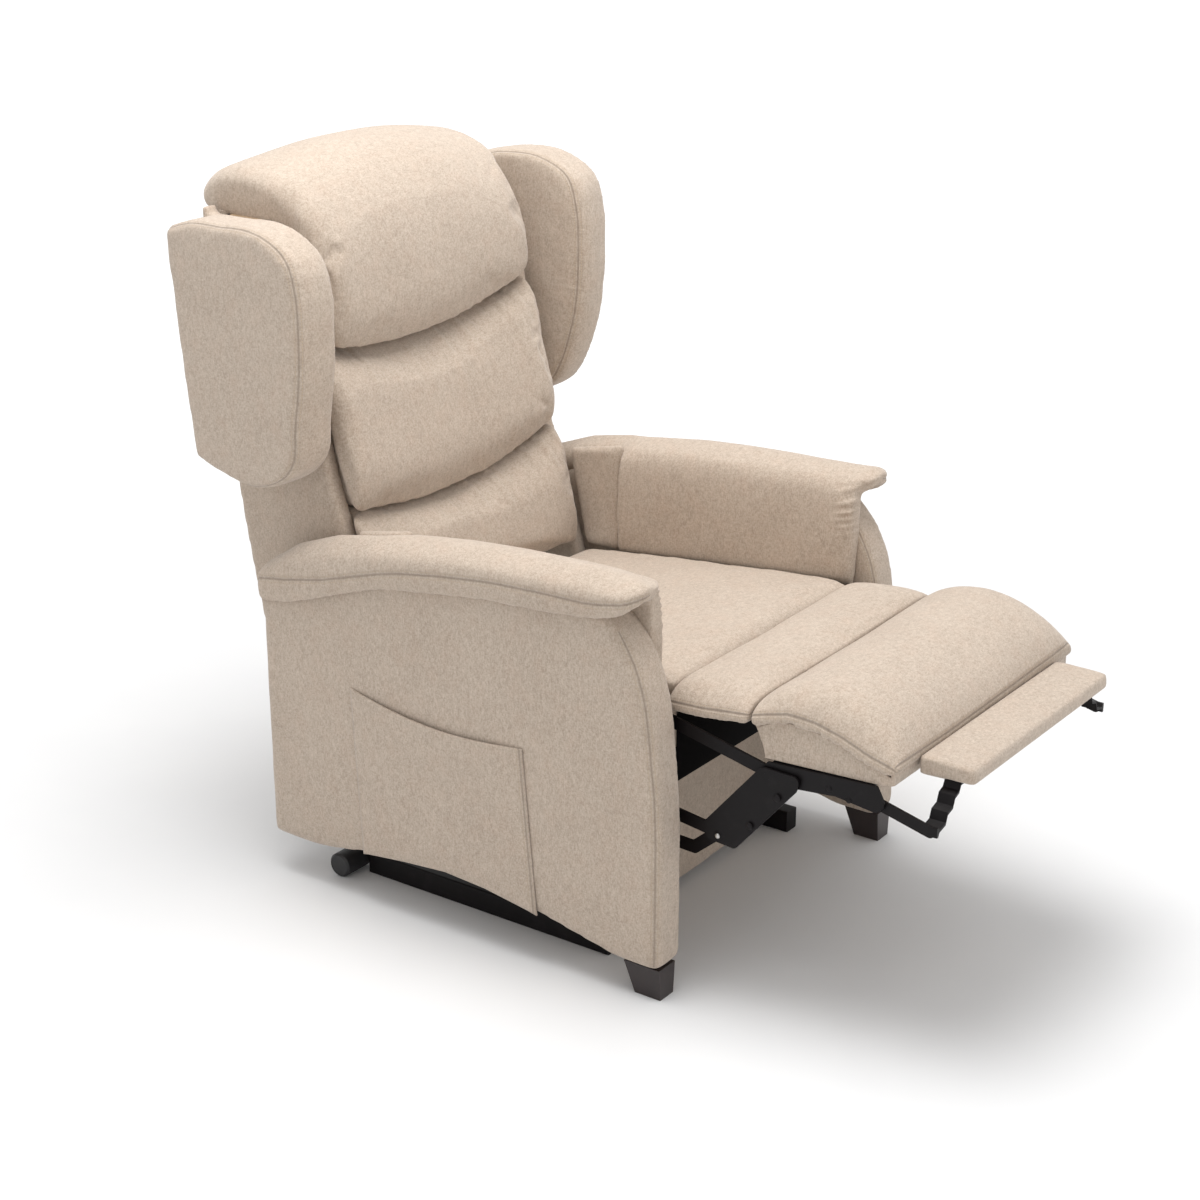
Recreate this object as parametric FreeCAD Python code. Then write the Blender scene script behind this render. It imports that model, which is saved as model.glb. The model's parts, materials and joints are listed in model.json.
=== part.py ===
import FreeCAD
import Part
import math
import os

os.makedirs("parts", exist_ok=True)

Vec = FreeCAD.Vector

# Lift recliner with wings, a chaise footrest with flipper, and a lift base. Millimetres, +Z up.
# The front faces -Y, the sitter's left is +X. Outlines are drawn as (u, z): u is the distance
# behind the front face of the side panels, z the height above the floor.

# Overall reaches, measured from the panel front; the origin is midway between them
front_reach = 411.5
rear_reach = 944.0

# Side panels
bay_half = 284.0
panel_thickness = 66.0
panel_depth = 747.0
panel_rear_top = 471.0
panel_rear_bottom = 64.0
panel_edge_chamfer = 6.0
panel_lean_height = 274.0
panel_front_edge = [(5, 364), (18, 454), (34, 505), (60, 549), (78, 571), (100, 588)]
panel_top_edge = [(284, 592), (454, 575), (600, 535)]
arch_height = 100.0
arch_front = 68.0
arch_rear = 662.0
arch_edge = [(598, 71), (540, 85), (387, arch_height), (230, 83), (150, 64)]

# Feet
foot_height = 50.0
foot_width = 41.0
foot_inset = 10.0
foot_front = 3.0
foot_tread = 45.0
foot_top = 62.0
foot_taper = 4.0

# Arm pads: the cap's heights along the arm, with what it lacks of its full width
pad_overhang = 14.0
nose_front = 20.0
pad_heights = [
    # u, crest, piping, lower edge, width lacking, inner edge
    (nose_front, 610, 604, 592, 14, 588),
    (28, 619, 606, 590, 5, 574),
    (45, 627, 606, 586, 1, 562),
    (75, 631, 602, 576, 0, 560),
    (120, 632, 597, 570, 0, 560),
    (200, 631, 595, 564, 0, 560),
    (284, 628, 592, 560, 0, 560),
    (370, 623, 583, 552, 0, 554),
    (454, 614, 570, 541, 0, 545),
    (527, 604, 551, 524, 0, 532),
    (600, 589, 531, 502, 0, 515),
    (680, 560, 514, 476, 1, 486),
    (panel_depth, 511, 500, 462, 4, 450),
]
pad_lap = 2.0
pad_crest_inset = 42.0
pad_inner_drop = 12.0
pad_roll = 3.0
pad_outer_roll = 12.0
pad_inner_roll = 62.0

# The drape that hangs from the arm pad to the seat
drape_thickness = 33.0
drape_front = 43.8
drape_rear = 498.0
drape_foot_front = 463.0
drape_foot_rear = 425.0
drape_crests = [
    # u, crest, thickness lacking
    (drape_front, 622, 14),
    (58, 628, 5),
    (84, 630, 0),
    (200, 630, 0),
    (370, 622, 0),
    (drape_rear, 607, 0),
]
drape_lap = 4.0
drape_top_drop = 11.0
drape_bend_drop = 19.0
drape_bend_share = 0.35
drape_shoulder_drop = 38.0
drape_shoulder_in = 10.0
drape_foot_in = 8.0
drape_back_drop = 40.0

# Filler between the drape and the backrest
filler_gap = 0.5
filler_foot = 425.0
filler_front_top = 575.0
filler_rear_top = 558.0
filler_rear = 566.0
filler_lean = 34.0
filler_thickness = 22.0

# Pocket on the sitter's right, open at its sagging top
pocket_depth = 10.0
pocket_wall = 4.0
pocket_seam = 10.0
pocket_front = 213.0
pocket_foot = 88.0
pocket_rear = 550.0
pocket_rear_foot = 90.0
pocket_mouth = [(565, 360, 3), (400, 336, 120), (237, 344, 3)]
pocket_above = 420.0

# Seat
seat_front = 43.8
seat_rear = 560.0
seat_top_front = 455.0
seat_top_rear = 421.0
seat_crown = 12.0
seat_crown_edge = 5.0
seat_crown_share = 0.4
seat_front_drop = 4.0
seat_rear_drop = 6.0
seat_side_gap = 0.7
seat_side_inset = 7.0
soft_gap = 0.3
rail_bottom = 300.0
rail_height = 45.0
rail_thickness = 18.0
rail_front = 50.0
rail_rear = 575.0
cross_rail_depth = 30.0
spring_wire = 3.6
spring_count = 4
spring_loops = 8

# Apron
apron_front = 180.0
apron_thickness = 20.0
apron_top = 225.0
apron_bottom = 20.0
apron_end_lift = 24.0
apron_end_length = 48.0
apron_bow = 14.0
lining_thickness = 4.0
lining_setback = 4.0
lining_top_gap = 0.5
lining_side_gap = 1.0
rod_slot_half = 30.0
rod_slot_drop = 24.0

# Footrest linkage pivots, at rest with the footrest out
hinge_u = 43.0
hinge_z = 412.0
drive_u = 112.0
drive_z = 280.0
plate_lower_u = -53.0
plate_lower_z = 258.0
plate_upper_u = -130.0
plate_upper_z = 370.0
guide_front_u = -45.0
guide_front_z = 255.0
guide_rear_u = 94.0
guide_rear_z = 239.0
flipper_u = -304.0
flipper_z = 368.0
link_thickness = 4.0
layer_gap = 2.0
link_half_width = 9.5
pin_radius = 5.0
running_fit = 0.06
seat_gap = 0.2
cutter_reach = 1.0
rivet_radius = 8.0
rivet_dome = 9.0
rivet_sink = 6.0
rivet_height = 2.0
sleeve_radius = 12.0
sleeve_length = 14.0
sleeve_bore_depth = 3.0
pin_end = 3.0
drive_pin_end = 1.0
back_pin_short = 8.0
torque_tube_radius = 11.0
guide_bends = [(0.0, 217.0), (46.0, 219.0)]
stand_offs = (190.0, 360.0, 530.0)
stand_off_rise = 22.0
stand_off_radius = 7.0

# Footrest board
board_rear = (-122.0, 389.0)
board_front = (-303.0, 398.0)
board_clearance = 22.0
board_top_rear = (-119.0, 407.0)
board_top_front = (-322.0, 414.5)
board_nose = (-325.0, 411.0)
board_nose_radius = 1.2

# Footrest brackets
bracket_rear = -126.0
bracket_front = -298.0
flange_rear = -132.0
flange_front = -292.0
flange_width = 24.0
flange_thickness = 3.0
arm_end = (-118.0, 376.0)

# Footrest upholstery
footrest_clearance = 12.0
footrest_rear = -94.5
footrest_front = -325.0
footrest_rear_top = 452.0
footrest_front_top = 438.0
footrest_tuck = 18.0
footrest_bulge = 34.0
footrest_crown = 8.0
footrest_front_bulge = 3.0
footrest_side_inset = 8.0
knee_front = -94.2
knee_front_foot = 427.0
knee_front_top = 452.0
knee_rear_foot = 429.0
knee_rear_top = 451.0
knee_bulge = 8.0
knee_crown = 7.0
knee_side_inset = 7.0
knee_gap = 1.0

# Flipper
flipper_clearance = 75.0
flipper_corners = [(-331, 400), (-330.5, 418), (-403, 427), (-409, 407)]
flipper_bulges = [1, 2, 2, 0.5]
flipper_side_inset = 4.0
flipper_tip = (-376.0, 350.0)
flipper_arm_half_width = 8.5
flipper_strip_width = 25.0
flipper_strip_offset = 12.0
flipper_strip_thickness = 4.0
flipper_strip_foot = 344.0
flipper_strip_rise = 14.0
flipper_steps = [(20, 354), (25, 367), (39, 371), (44, 384), (55, 388), (60, 398), (76, 398)]

# Backrest
back_pivot_u = 605.0
back_pivot_z = 378.0
side_frame_thickness = 29.5
back_clearance = 4.5
frame_foot = (578, 352)
frame_shin = (576, 404)
frame_front_edge = [(612, 540), (652, 675), (690, 850), (735, 1018)]
frame_shoulder = (752, 1034)
frame_crown = (884, 1034)
frame_rear_top = (897, 1016)
frame_rear_middle = (857, 640)
frame_rear_foot = (812, 390)
frame_heel = (790, 366)
back_cover_thickness = 18.0
back_cover_inset = 1.0
back_rail_boxes = [(690, 716, 386, 424), (762, 788, 690, 730), (800, 864, 1004, 1032)]

# Back cushions: corners at their ends; the seams between them bow down in the middle
seam_bow = 46.0
seam_bow_forward = 0.1
seam_bow_rear = 0.4
cushion_side_inset = 8.0
lumbar_corners = [(672, 430), (566, 428), (612, 622), (716, 612)]
lumbar_bulges = [0, 22, 3, 0]
middle_corners = [(718, 617), (608, 632), (668, 862), (762, 862)]
middle_bulges = [3, 26, 2.6, 0]
head_corners = [(768, 868), (664, 868), (748, 1088), (852, 1102), (938, 1064), (930, 1044), (748, 1044)]
head_bulges = [2.6, 30, 10, 7, 4, 0, 0]
head_rise = 26.0
head_rise_share = 0.6
head_rise_forward = 0.4
head_side_inset = 9.0

# Wings
wing_front_outer = 382.0
wing_rear_outer = 356.0
wing_front_inner = 319.0
wing_edge_radius = 12.0
wing_outline = [(899, 1034, 14), (622, 1078, 72), (603, 900, 320), (680, 640, 48), (861, 676, 12)]
wing_front = 612.0
wing_rear = 899.0
wing_foot = 600.0
wing_top = 1100.0
wing_spare = 5.0

# Lift base
tube_width = 30.0
tube_height = 37.0
base_clearance = 12.0
base_front = 142.0
base_rear = 612.0
front_tube_u = 215.0
rear_tube_u = 580.0
roller_radius = 20.0
roller_u = 641.0
roller_lap = 18.0
roller_overhang = 40.0
roller_chamfer = 3.0
axle_radius = 6.0
axle_overhang = 36.0
axle_bracket = 4.0
axle_bracket_reach = 40.0
axle_bracket_foot = 8.0
axle_bracket_top = 32.0
tube_edge_radius = 3.0

# Lift linkage pivots with the chair down
arm_base_u = 245.0
arm_base_z = 60.0
arm_chair_u = 510.0
arm_chair_z = 105.0
link_base_u = 249.0
link_base_z = 120.0
link_chair_u = 510.0
link_chair_z = 190.0
arm_half_width = 13.0
lift_link_half_width = 9.0
lift_bar = 6.0
lift_bar_gap = 3.0
lift_bracket_gap = 1.5
lift_bracket_plate = 4.0
hanger_gap = 3.5
hanger_front = 492.0
hanger_rear = 530.0
hanger_top_lap = 34.0
hanger_foot = 90.0
lift_pin_radius = 6.0
lift_pin_end = 1.0
arm_pin_short = 0.3
crank_u = 235.0
crank_z = 135.0
cross_tube_radius = 14.0

# Actuators
lift_motor_u = 568.0
lift_motor_z = 66.0
lift_motor_x = 60.0
recline_motor_u = 500.0
recline_motor_z = 285.0
recline_motor_x = -60.0
recline_crank_reach = 45.0
rod_radius = 8.5
tube_radius = 16.0
eye_radius = 11.0
eye_width = 18.0
clevis_gap = 0.5
clevis_plate = 5.0
clevis_lap = 1.0
open_pivot_gap = 0.5
motor_neck_radius = 8.0
motor_neck = (6.0, 34.0)
gearbox = (30.0, 74.0)
gearbox_radius = 25.0
motor_offset = 44.0
motor_radius = 21.0
motor_can = (70.0, 170.0)
tube_start = 70.0
tube_short = 62.0
rod_bore_start = 90.0
rod_start = 150.0
rod_end_lap = 6.0

origin_u = (rear_reach - front_reach) / 2


def point(u, z, x=0.0):
    return Vec(x, u - origin_u, z)


def save(name, shape):
    shape.exportStep(os.path.join("parts", name + ".step"))


def mirrored(shape):
    return shape.mirror(Vec(0, 0, 0), Vec(1, 0, 0))


def save_pair(name, left_shape):
    save(name + "_left", left_shape)
    save(name + "_right", mirrored(left_shape))


def line(a, b):
    return Part.LineSegment(point(*a), point(*b)).toShape()


def arcs(points):
    # Arcs through a line of points: ends at every other point, the rest lie between
    edges = []
    for a, via, b in zip(points[::2], points[1::2], points[2::2]):
        edges.append(Part.Arc(point(*a), point(*via), point(*b)).toShape())
    return edges


def extrude_edges(edges, x0, x1):
    face = Part.Face(Part.Wire(edges))
    solid = face.extrude(Vec(x1 - x0, 0, 0))
    solid.translate(Vec(x0, 0, 0))
    return solid


def rounded_outline(corners):
    # Each corner is (u, z, radius); straight sides joined by tangent arcs
    count = len(corners)
    edges = []
    ends = []
    for i, (u, z, radius) in enumerate(corners):
        here = point(u, z)
        before = point(*corners[i - 1][:2])
        after = point(*corners[(i + 1) % count][:2])
        if radius <= 0:
            ends.append((here, None, here))
            continue
        back = (before - here).normalize()
        ahead = (after - here).normalize()
        half_angle = back.getAngle(ahead) / 2
        reach = radius / math.tan(half_angle)
        middle = (back + ahead).normalize()
        centre = here + middle * (radius / math.sin(half_angle))
        ends.append((here + back * reach, centre - middle * radius, here + ahead * reach))
    for i, (first, via, last) in enumerate(ends):
        if via is not None:
            edges.append(Part.Arc(first, via, last).toShape())
        following = ends[(i + 1) % count][0]
        if (following - last).Length > 1e-4:
            edges.append(Part.LineSegment(last, following).toShape())
    return edges


def plate(corners, x0, x1):
    return extrude_edges(rounded_outline(corners), x0, x1)


def disc(u, z, radius, x0, x1):
    return Part.makeCylinder(radius, x1 - x0, point(u, z, x0), Vec(1, 0, 0))


def bar(a, b, half_width, x0, x1):
    # A flat bar with round ends between two points
    start = point(*a)
    end = point(*b)
    along = (end - start).normalize()
    side = Vec(0, -along.z, along.y) * half_width
    cap = along * half_width
    edges = [
        Part.LineSegment(start + side, end + side).toShape(),
        Part.Arc(end + side, end + cap, end - side).toShape(),
        Part.LineSegment(end - side, start - side).toShape(),
        Part.Arc(start - side, start - cap, start + side).toShape(),
    ]
    return extrude_edges(edges, x0, x1)


def bent_bar(points, half_width, x0, x1):
    body = bar(points[0], points[1], half_width, x0, x1)
    for a, b in zip(points[1:], points[2:]):
        body = body.fuse(bar(a, b, half_width, x0, x1))
    return body.removeSplitter()


def near(pivot, du, dz, radius):
    # A corner of an outline, placed from a pivot
    return pivot[0] + du, pivot[1] + dz, radius


def block(x0, x1, u0, u1, z0, z1):
    return Part.makeBox(x1 - x0, u1 - u0, z1 - z0, point(u0, z0, x0))


def bulged_section(x, corners, bulges, inset):
    # A closed section in the plane of x: sides are arcs that stand out by their bulge
    centre_u = sum(c[0] for c in corners) / len(corners)
    centre_z = sum(c[1] for c in corners) / len(corners)
    centre = point(centre_u, centre_z, x)
    vectors = []
    for u, z in corners:
        corner = point(u, z, x)
        inward = centre - corner
        step_y = math.copysign(min(inset, abs(inward.y) * 0.8), inward.y)
        step_z = math.copysign(min(inset, abs(inward.z) * 0.8), inward.z)
        vectors.append(corner + Vec(0, step_y, step_z))
    edges = []
    for i, first in enumerate(vectors):
        last = vectors[(i + 1) % len(vectors)]
        middle = (first + last) * 0.5
        along = (last - first).normalize()
        outward = Vec(0, along.z, -along.y)
        if outward.dot(middle - centre) < 0:
            outward = outward * -1
        bulge = bulges[i]
        if abs(bulge) < 0.01:
            edges.append(Part.LineSegment(first, last).toShape())
        else:
            edges.append(Part.Arc(first, middle + outward * bulge, last).toShape())
    return Part.Wire(edges)


def cushion(half_width, shape_at, end_inset):
    # A cushion lofted across the seat: full in the middle, drawn in towards its sides
    half = [(1.0, 1.0), (0.985, 0.5), (0.96, 0.2), (0.92, 0.0), (0.75, 0.0), (0.5, 0.0), (0.25, 0.0)]
    stations = [(-place, drawn) for place, drawn in half] + [(0.0, 0.0)] + half[::-1]
    wires = []
    for place, drawn in stations:
        corners, bulges = shape_at(abs(place))
        wires.append(bulged_section(place * half_width, corners, bulges, drawn * end_inset))
    return Part.makeLoft(wires, True, True)


panel_outer = bay_half + panel_thickness

# Layers of the footrest linkage, from the panel inwards
mech_outer = bay_half
mech_inner = mech_outer - link_thickness
cover_outer = mech_inner - layer_gap * 2
cover_inner = cover_outer - link_thickness
drive_outer = cover_inner - layer_gap
drive_inner = drive_outer - link_thickness
arm_outer = drive_inner - layer_gap
arm_inner = arm_outer - link_thickness
guide_outer = arm_inner - layer_gap
guide_inner = guide_outer - link_thickness
lug_outer = guide_inner - layer_gap
lug_inner = lug_outer - link_thickness

footrest_half = bay_half - footrest_clearance
board_half = bay_half - board_clearance
flipper_half = bay_half - flipper_clearance
apron_flat = bay_half - apron_end_length
side_frame_outer = bay_half - back_clearance
side_frame_inner = side_frame_outer - side_frame_thickness

# Layers of the lift linkage, from the base tubes inwards; the seat rails carry its hangers
base_half = bay_half - base_clearance
roller_inner = base_half - roller_lap
roller_outer = base_half + roller_overhang
axle_end = base_half + axle_overhang
bracket_outer = base_half - tube_width - seat_gap
bracket_inner = bracket_outer - lift_bracket_plate
lift_outer = bracket_inner - lift_bracket_gap
lift_inner = lift_outer - lift_bar
link_outer = lift_inner - lift_bar_gap
link_inner = link_outer - lift_bar
hanger_inner = lift_outer + hanger_gap
hanger_outer = hanger_inner + lift_bracket_plate
rail_inner_x = hanger_outer + seat_gap
rail_top = rail_bottom + rail_height

hinge = (hinge_u, hinge_z)
drive_pivot = (drive_u, drive_z)
plate_lower = (plate_lower_u, plate_lower_z)
plate_upper = (plate_upper_u, plate_upper_z)
guide_front = (guide_front_u, guide_front_z)
guide_rear = (guide_rear_u, guide_rear_z)
flipper_pivot = (flipper_u, flipper_z)
back_pivot = (back_pivot_u, back_pivot_z)
arm_base = (arm_base_u, arm_base_z)
arm_chair = (arm_chair_u, arm_chair_z)
link_base = (link_base_u, link_base_z)
link_chair = (link_chair_u, link_chair_z)
crank_pin = (crank_u, crank_z)
recline_crank = (drive_u + recline_crank_reach, drive_z)


# Side panels, arm pads and what hangs on them
def panel_solid():
    lean = (0, panel_lean_height)
    top_front = panel_front_edge[-1]
    top_rear = (panel_depth, panel_rear_top)
    low_rear = (panel_depth, panel_rear_bottom)
    arch_end = (arch_rear, panel_rear_bottom)
    arch_start = (arch_front, foot_height)
    toe = (0, foot_height)
    edges = [line(toe, lean)]
    edges += arcs([lean] + panel_front_edge)
    edges += arcs([top_front] + panel_top_edge + [top_rear])
    edges += [line(top_rear, low_rear), line(low_rear, arch_end)]
    edges += arcs([arch_end] + arch_edge + [arch_start])
    edges.append(line(arch_start, toe))
    return extrude_edges(edges, bay_half, panel_outer)


def side_panel():
    # The front edge is broken on its outer side, up to the arm pad
    solid = panel_solid()
    last = point(*panel_front_edge[3])
    outer = [
        edge for edge in solid.Edges
        if edge.BoundBox.XMin > panel_outer - seat_gap and edge.BoundBox.ZMax < last.z + seat_gap
        and edge.BoundBox.YMax < last.y + seat_gap
    ]
    return solid.makeChamfer(panel_edge_chamfer, outer)


def pad_section(u, crest, piping, lower, lacking, inner):
    # Section across the arm: overhang, crest and the side towards the seat
    y = point(u, 0).y
    outer = panel_outer + pad_overhang - lacking
    inside = bay_half + pad_lap
    low_outer = Vec(outer - pad_overhang, y, lower)
    pipe = Vec(outer, y, piping)
    top = Vec(outer - pad_crest_inset, y, crest)
    inner_top = Vec(inside, y, crest - pad_inner_drop)
    inner_low = Vec(inside, y, inner)
    under_roll = Vec(outer - pad_roll, y, (lower + piping) / 2 - pad_roll)
    outer_roll = Vec(outer - pad_outer_roll, y, (crest * 2 + piping) / 3)
    inner_roll = Vec(outer - pad_inner_roll, y, crest - pad_roll)
    edges = [
        Part.Arc(low_outer, under_roll, pipe).toShape(),
        Part.Arc(pipe, outer_roll, top).toShape(),
        Part.Arc(top, inner_roll, inner_top).toShape(),
        Part.LineSegment(inner_top, inner_low).toShape(),
        Part.LineSegment(inner_low, low_outer).toShape(),
    ]
    return Part.Wire(edges)


def drape_section(u, crest, lacking):
    # Section of the drape: from the arm pad over its shoulder and down to the seat
    y = point(u, 0).y
    thick = drape_thickness - lacking
    inner = bay_half - thick
    lap = bay_half + drape_lap
    foot = seat_line(u)
    shoulder_z = crest - drape_shoulder_drop
    top = Vec(lap, y, crest - drape_top_drop)
    bend = Vec(bay_half - thick * drape_bend_share, y, crest - drape_bend_drop)
    shoulder = Vec(inner + drape_shoulder_in, y, shoulder_z)
    belly = Vec(inner, y, (shoulder_z + foot) / 2)
    low = Vec(inner + drape_foot_in, y, foot)
    back_low = Vec(bay_half - seat_gap, y, foot)
    back_high = Vec(lap, y, crest - drape_back_drop)
    edges = [
        Part.Arc(top, bend, shoulder).toShape(),
        Part.Arc(shoulder, belly, low).toShape(),
        Part.LineSegment(low, back_low).toShape(),
        Part.LineSegment(back_low, back_high).toShape(),
        Part.LineSegment(back_high, top).toShape(),
    ]
    return Part.Wire(edges)


def seat_line(u):
    # Height of the seat beside the arm
    fall = (drape_foot_front - drape_foot_rear) / (drape_rear - drape_front)
    return drape_foot_front - (u - drape_front) * fall


def arm_pad():
    cap = Part.makeLoft([pad_section(*heights) for heights in pad_heights], True, True)
    drape = Part.makeLoft([drape_section(*crest) for crest in drape_crests], True, True)
    return cap.fuse(drape).cut(panel_solid()).removeSplitter()


def arm_filler():
    front = drape_rear + filler_gap
    corners = [
        (front, filler_foot, 4),
        (front, filler_front_top, 8),
        (filler_rear + filler_lean, filler_rear_top, 8),
        (filler_rear, filler_foot, 4),
    ]
    return plate(corners, bay_half - filler_thickness, bay_half - seat_gap)


def side_pocket():
    foot = [(pocket_front, pocket_foot, 5), (pocket_rear, pocket_rear_foot, 5)]
    outer = plate(foot + pocket_mouth, panel_outer, panel_outer + pocket_depth)
    front = pocket_mouth[-1][0] + pocket_seam
    rear = pocket_rear - pocket_seam
    inside = [
        (pocket_front + pocket_seam, pocket_foot + pocket_seam, 3),
        (rear, pocket_rear_foot + pocket_seam, 3),
        (pocket_mouth[0][0] + 1 - pocket_seam, pocket_above, 0),
        (front, pocket_above, 0),
    ]
    hollow = plate(inside, panel_outer - cutter_reach, panel_outer + pocket_depth - pocket_wall)
    return mirrored(outer.cut(hollow))


def front_foot():
    x1 = panel_outer - foot_inset
    x0 = x1 - foot_width

    def ring(z, length, shrink):
        corners = [
            point(foot_front, z, x0 + shrink),
            point(foot_front, z, x1 - shrink),
            point(foot_front + length, z, x1 - shrink),
            point(foot_front + length, z, x0 + shrink),
        ]
        return Part.makePolygon(corners + corners[:1])

    return Part.makeLoft([ring(0, foot_tread, foot_taper), ring(foot_height, foot_top, 0)], True, True)


save_pair("side_panel", side_panel())
save_pair("arm_pad", arm_pad())
filler = arm_filler()
save("arm_fillers", Part.makeCompound([filler, mirrored(filler)]))
save("side_pocket", side_pocket())
save_pair("front_foot", front_foot())


# Seat
seat_bottom = rail_top + spring_wire + soft_gap


def seat_shape(place):
    crown = seat_crown * (1 - place * place)
    corners = [
        (seat_rear, seat_bottom),
        (seat_front, seat_bottom),
        (seat_front, seat_top_front - seat_front_drop + crown * seat_crown_share),
        (seat_rear, seat_top_rear - seat_rear_drop),
    ]
    return corners, [0, 0, seat_crown_edge + crown, 0]


def spring(x):
    # One sinuous spring: half rings of wire joined end to end between the cross rails
    start = rail_front + cross_rail_depth / 2
    pitch = (rail_rear - cross_rail_depth / 2 - start) / spring_loops
    radius = pitch / 2
    body = None
    for i in range(spring_loops):
        centre = point(start + pitch * (i + 0.5), rail_top, x)
        ring = Part.makeCylinder(radius + spring_wire / 2, spring_wire, centre)
        ring = ring.cut(Part.makeCylinder(radius - spring_wire / 2, spring_wire, centre))
        side = 1 if i % 2 == 0 else -1
        keep = Part.makeBox(pitch, pitch * 2, spring_wire, centre + Vec(0 if side > 0 else -pitch, -pitch, 0))
        half = ring.common(keep)
        body = half if body is None else body.fuse(half)
    return body.removeSplitter()


rail_outer_x = rail_inner_x + rail_thickness
side_rail = block(rail_inner_x, rail_outer_x, rail_front, rail_rear, rail_bottom, rail_top)
lug_top = (guide_rear_u, rail_bottom)
guide_lug = plate([
    near(lug_top, -26, 6, 0),
    near(lug_top, -4, 6, 0),
    near(guide_rear, 12, -12, 11),
    near(guide_rear, -12, -12, 11),
], lug_inner, lug_outer)
guide_lug = guide_lug.fuse(disc(*guide_rear, pin_radius, lug_inner, guide_outer + 1))
side_rail = side_rail.fuse(guide_lug).removeSplitter()
save("seat_side_rails", Part.makeCompound([side_rail, mirrored(side_rail)]))

cross_rail_front = rail_rear - cross_rail_depth
front_rail = block(-rail_inner_x, rail_inner_x, rail_front, rail_front + cross_rail_depth,
                   rail_bottom, rail_top)
rear_rail = block(-rail_inner_x, rail_inner_x, cross_rail_front, rail_rear, rail_bottom, rail_top)


def clevis(pivot, x, foot_corners):
    # Two plates that carry an actuator's end
    half = eye_width / 2 + clevis_gap
    plates = []
    for x0 in (x - half - clevis_plate, x + half):
        body = plate(foot_corners, x0, x0 + clevis_plate)
        plates.append(body.fuse(disc(pivot[0], pivot[1], eye_radius, x0, x0 + clevis_plate)))
    pin = disc(pivot[0], pivot[1], pin_radius, x - half - clevis_lap, x + half + clevis_lap)
    return plates[0].fuse(plates[1]).fuse(pin)


recline_pivot = (recline_motor_u, recline_motor_z)
rear_rail_foot = (cross_rail_front, rail_bottom)
recline_foot = [
    near(rear_rail_foot, 2, 12, 0),
    near(rear_rail_foot, 2, -22, 0),
    near(recline_pivot, 0, -8, 3),
    near(recline_pivot, 0, 8, 3),
]
rear_rail = rear_rail.fuse(clevis(recline_pivot, recline_motor_x, recline_foot)).removeSplitter()
save("seat_front_rail", front_rail)
save("seat_rear_rail", rear_rail)

spring_step = 2 * rail_inner_x / (spring_count + 1)
springs = [spring(-rail_inner_x + spring_step * (i + 1)) for i in range(spring_count)]
save("seat_springs", Part.makeCompound(springs))
seat_half = bay_half - drape_thickness - seat_side_gap
save("seat_cushion", cushion(seat_half, seat_shape, seat_side_inset))


# Apron and the dark lining above it
def front_apron():
    # The lower edge bows down between two raised ends
    half = bay_half - soft_gap
    y = point(apron_front, 0).y
    high = apron_bottom + apron_end_lift
    bow_ends = apron_bottom + apron_bow
    outline = [
        Vec(apron_flat, y, bow_ends),
        Vec(apron_flat, y, high),
        Vec(half, y, high),
        Vec(half, y, apron_top),
    ]
    outline += [Vec(-corner.x, y, corner.z) for corner in reversed(outline)]
    edges = [Part.LineSegment(a, b).toShape() for a, b in zip(outline, outline[1:])]
    edges.append(Part.Arc(outline[-1], Vec(0, y, apron_bottom), outline[0]).toShape())
    return Part.Face(Part.Wire(edges)).extrude(Vec(0, apron_thickness, 0))


def front_lining():
    # Dark cloth above the apron, with a slot for the rod of the recline actuator
    front = apron_front + lining_setback
    rear = front + lining_thickness
    half = mech_inner - lining_side_gap
    cloth = block(-half, half, front, rear, apron_top + soft_gap, rail_bottom - lining_top_gap)
    slot = block(recline_motor_x - rod_slot_half, recline_motor_x + rod_slot_half,
                 front - cutter_reach, rear + cutter_reach, drive_z - rod_slot_drop, rail_bottom)
    return cloth.cut(slot)


save("front_apron", front_apron())
save("front_lining", front_lining())


# Mechanism plates with their pivot pins
def mechanism_plate():
    corners = [
        near(hinge, -17, 16, 10),
        near(hinge, 17, 16, 10),
        (drive_u, rail_top, 20),
        (rail_rear - 20, rail_top, 10),
        near(back_pivot, -10, 18, 10),
        near(back_pivot, 18, 10, 14),
        (back_pivot_u - 10, rail_bottom - 4, 14),
        (drive_u + 34, rail_bottom - 4, 12),
        near(drive_pivot, 14, -18, 10),
        near(drive_pivot, -14, -18, 10),
        near(drive_pivot, -24, 20, 20),
        near(hinge, -15, -20, 12),
    ]
    body = plate(corners, mech_inner, mech_outer - seat_gap)
    body = body.fuse(disc(*hinge, pin_radius, drive_inner - pin_end, mech_inner))
    body = body.fuse(disc(*drive_pivot, pin_radius, drive_inner - drive_pin_end, mech_inner))
    body = body.fuse(disc(*back_pivot, axle_radius, side_frame_inner + back_pin_short, mech_inner))
    for u in stand_offs:
        body = body.fuse(disc(u, rail_bottom + stand_off_rise, stand_off_radius, rail_outer_x, mech_inner))
    return body.removeSplitter()


save_pair("mechanism_plate", mechanism_plate())


def drilled(body, pivots, radius, x0, x1):
    for u, z in pivots:
        body = body.cut(disc(u, z, radius + running_fit, x0 - cutter_reach, x1 + cutter_reach))
    return body


def rivet(centre, x):
    # A domed rivet head standing on the face at x
    head = Part.makeSphere(rivet_dome, point(*centre, x - rivet_sink))
    return head.common(disc(*centre, rivet_radius, x, x + rivet_height))


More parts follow.
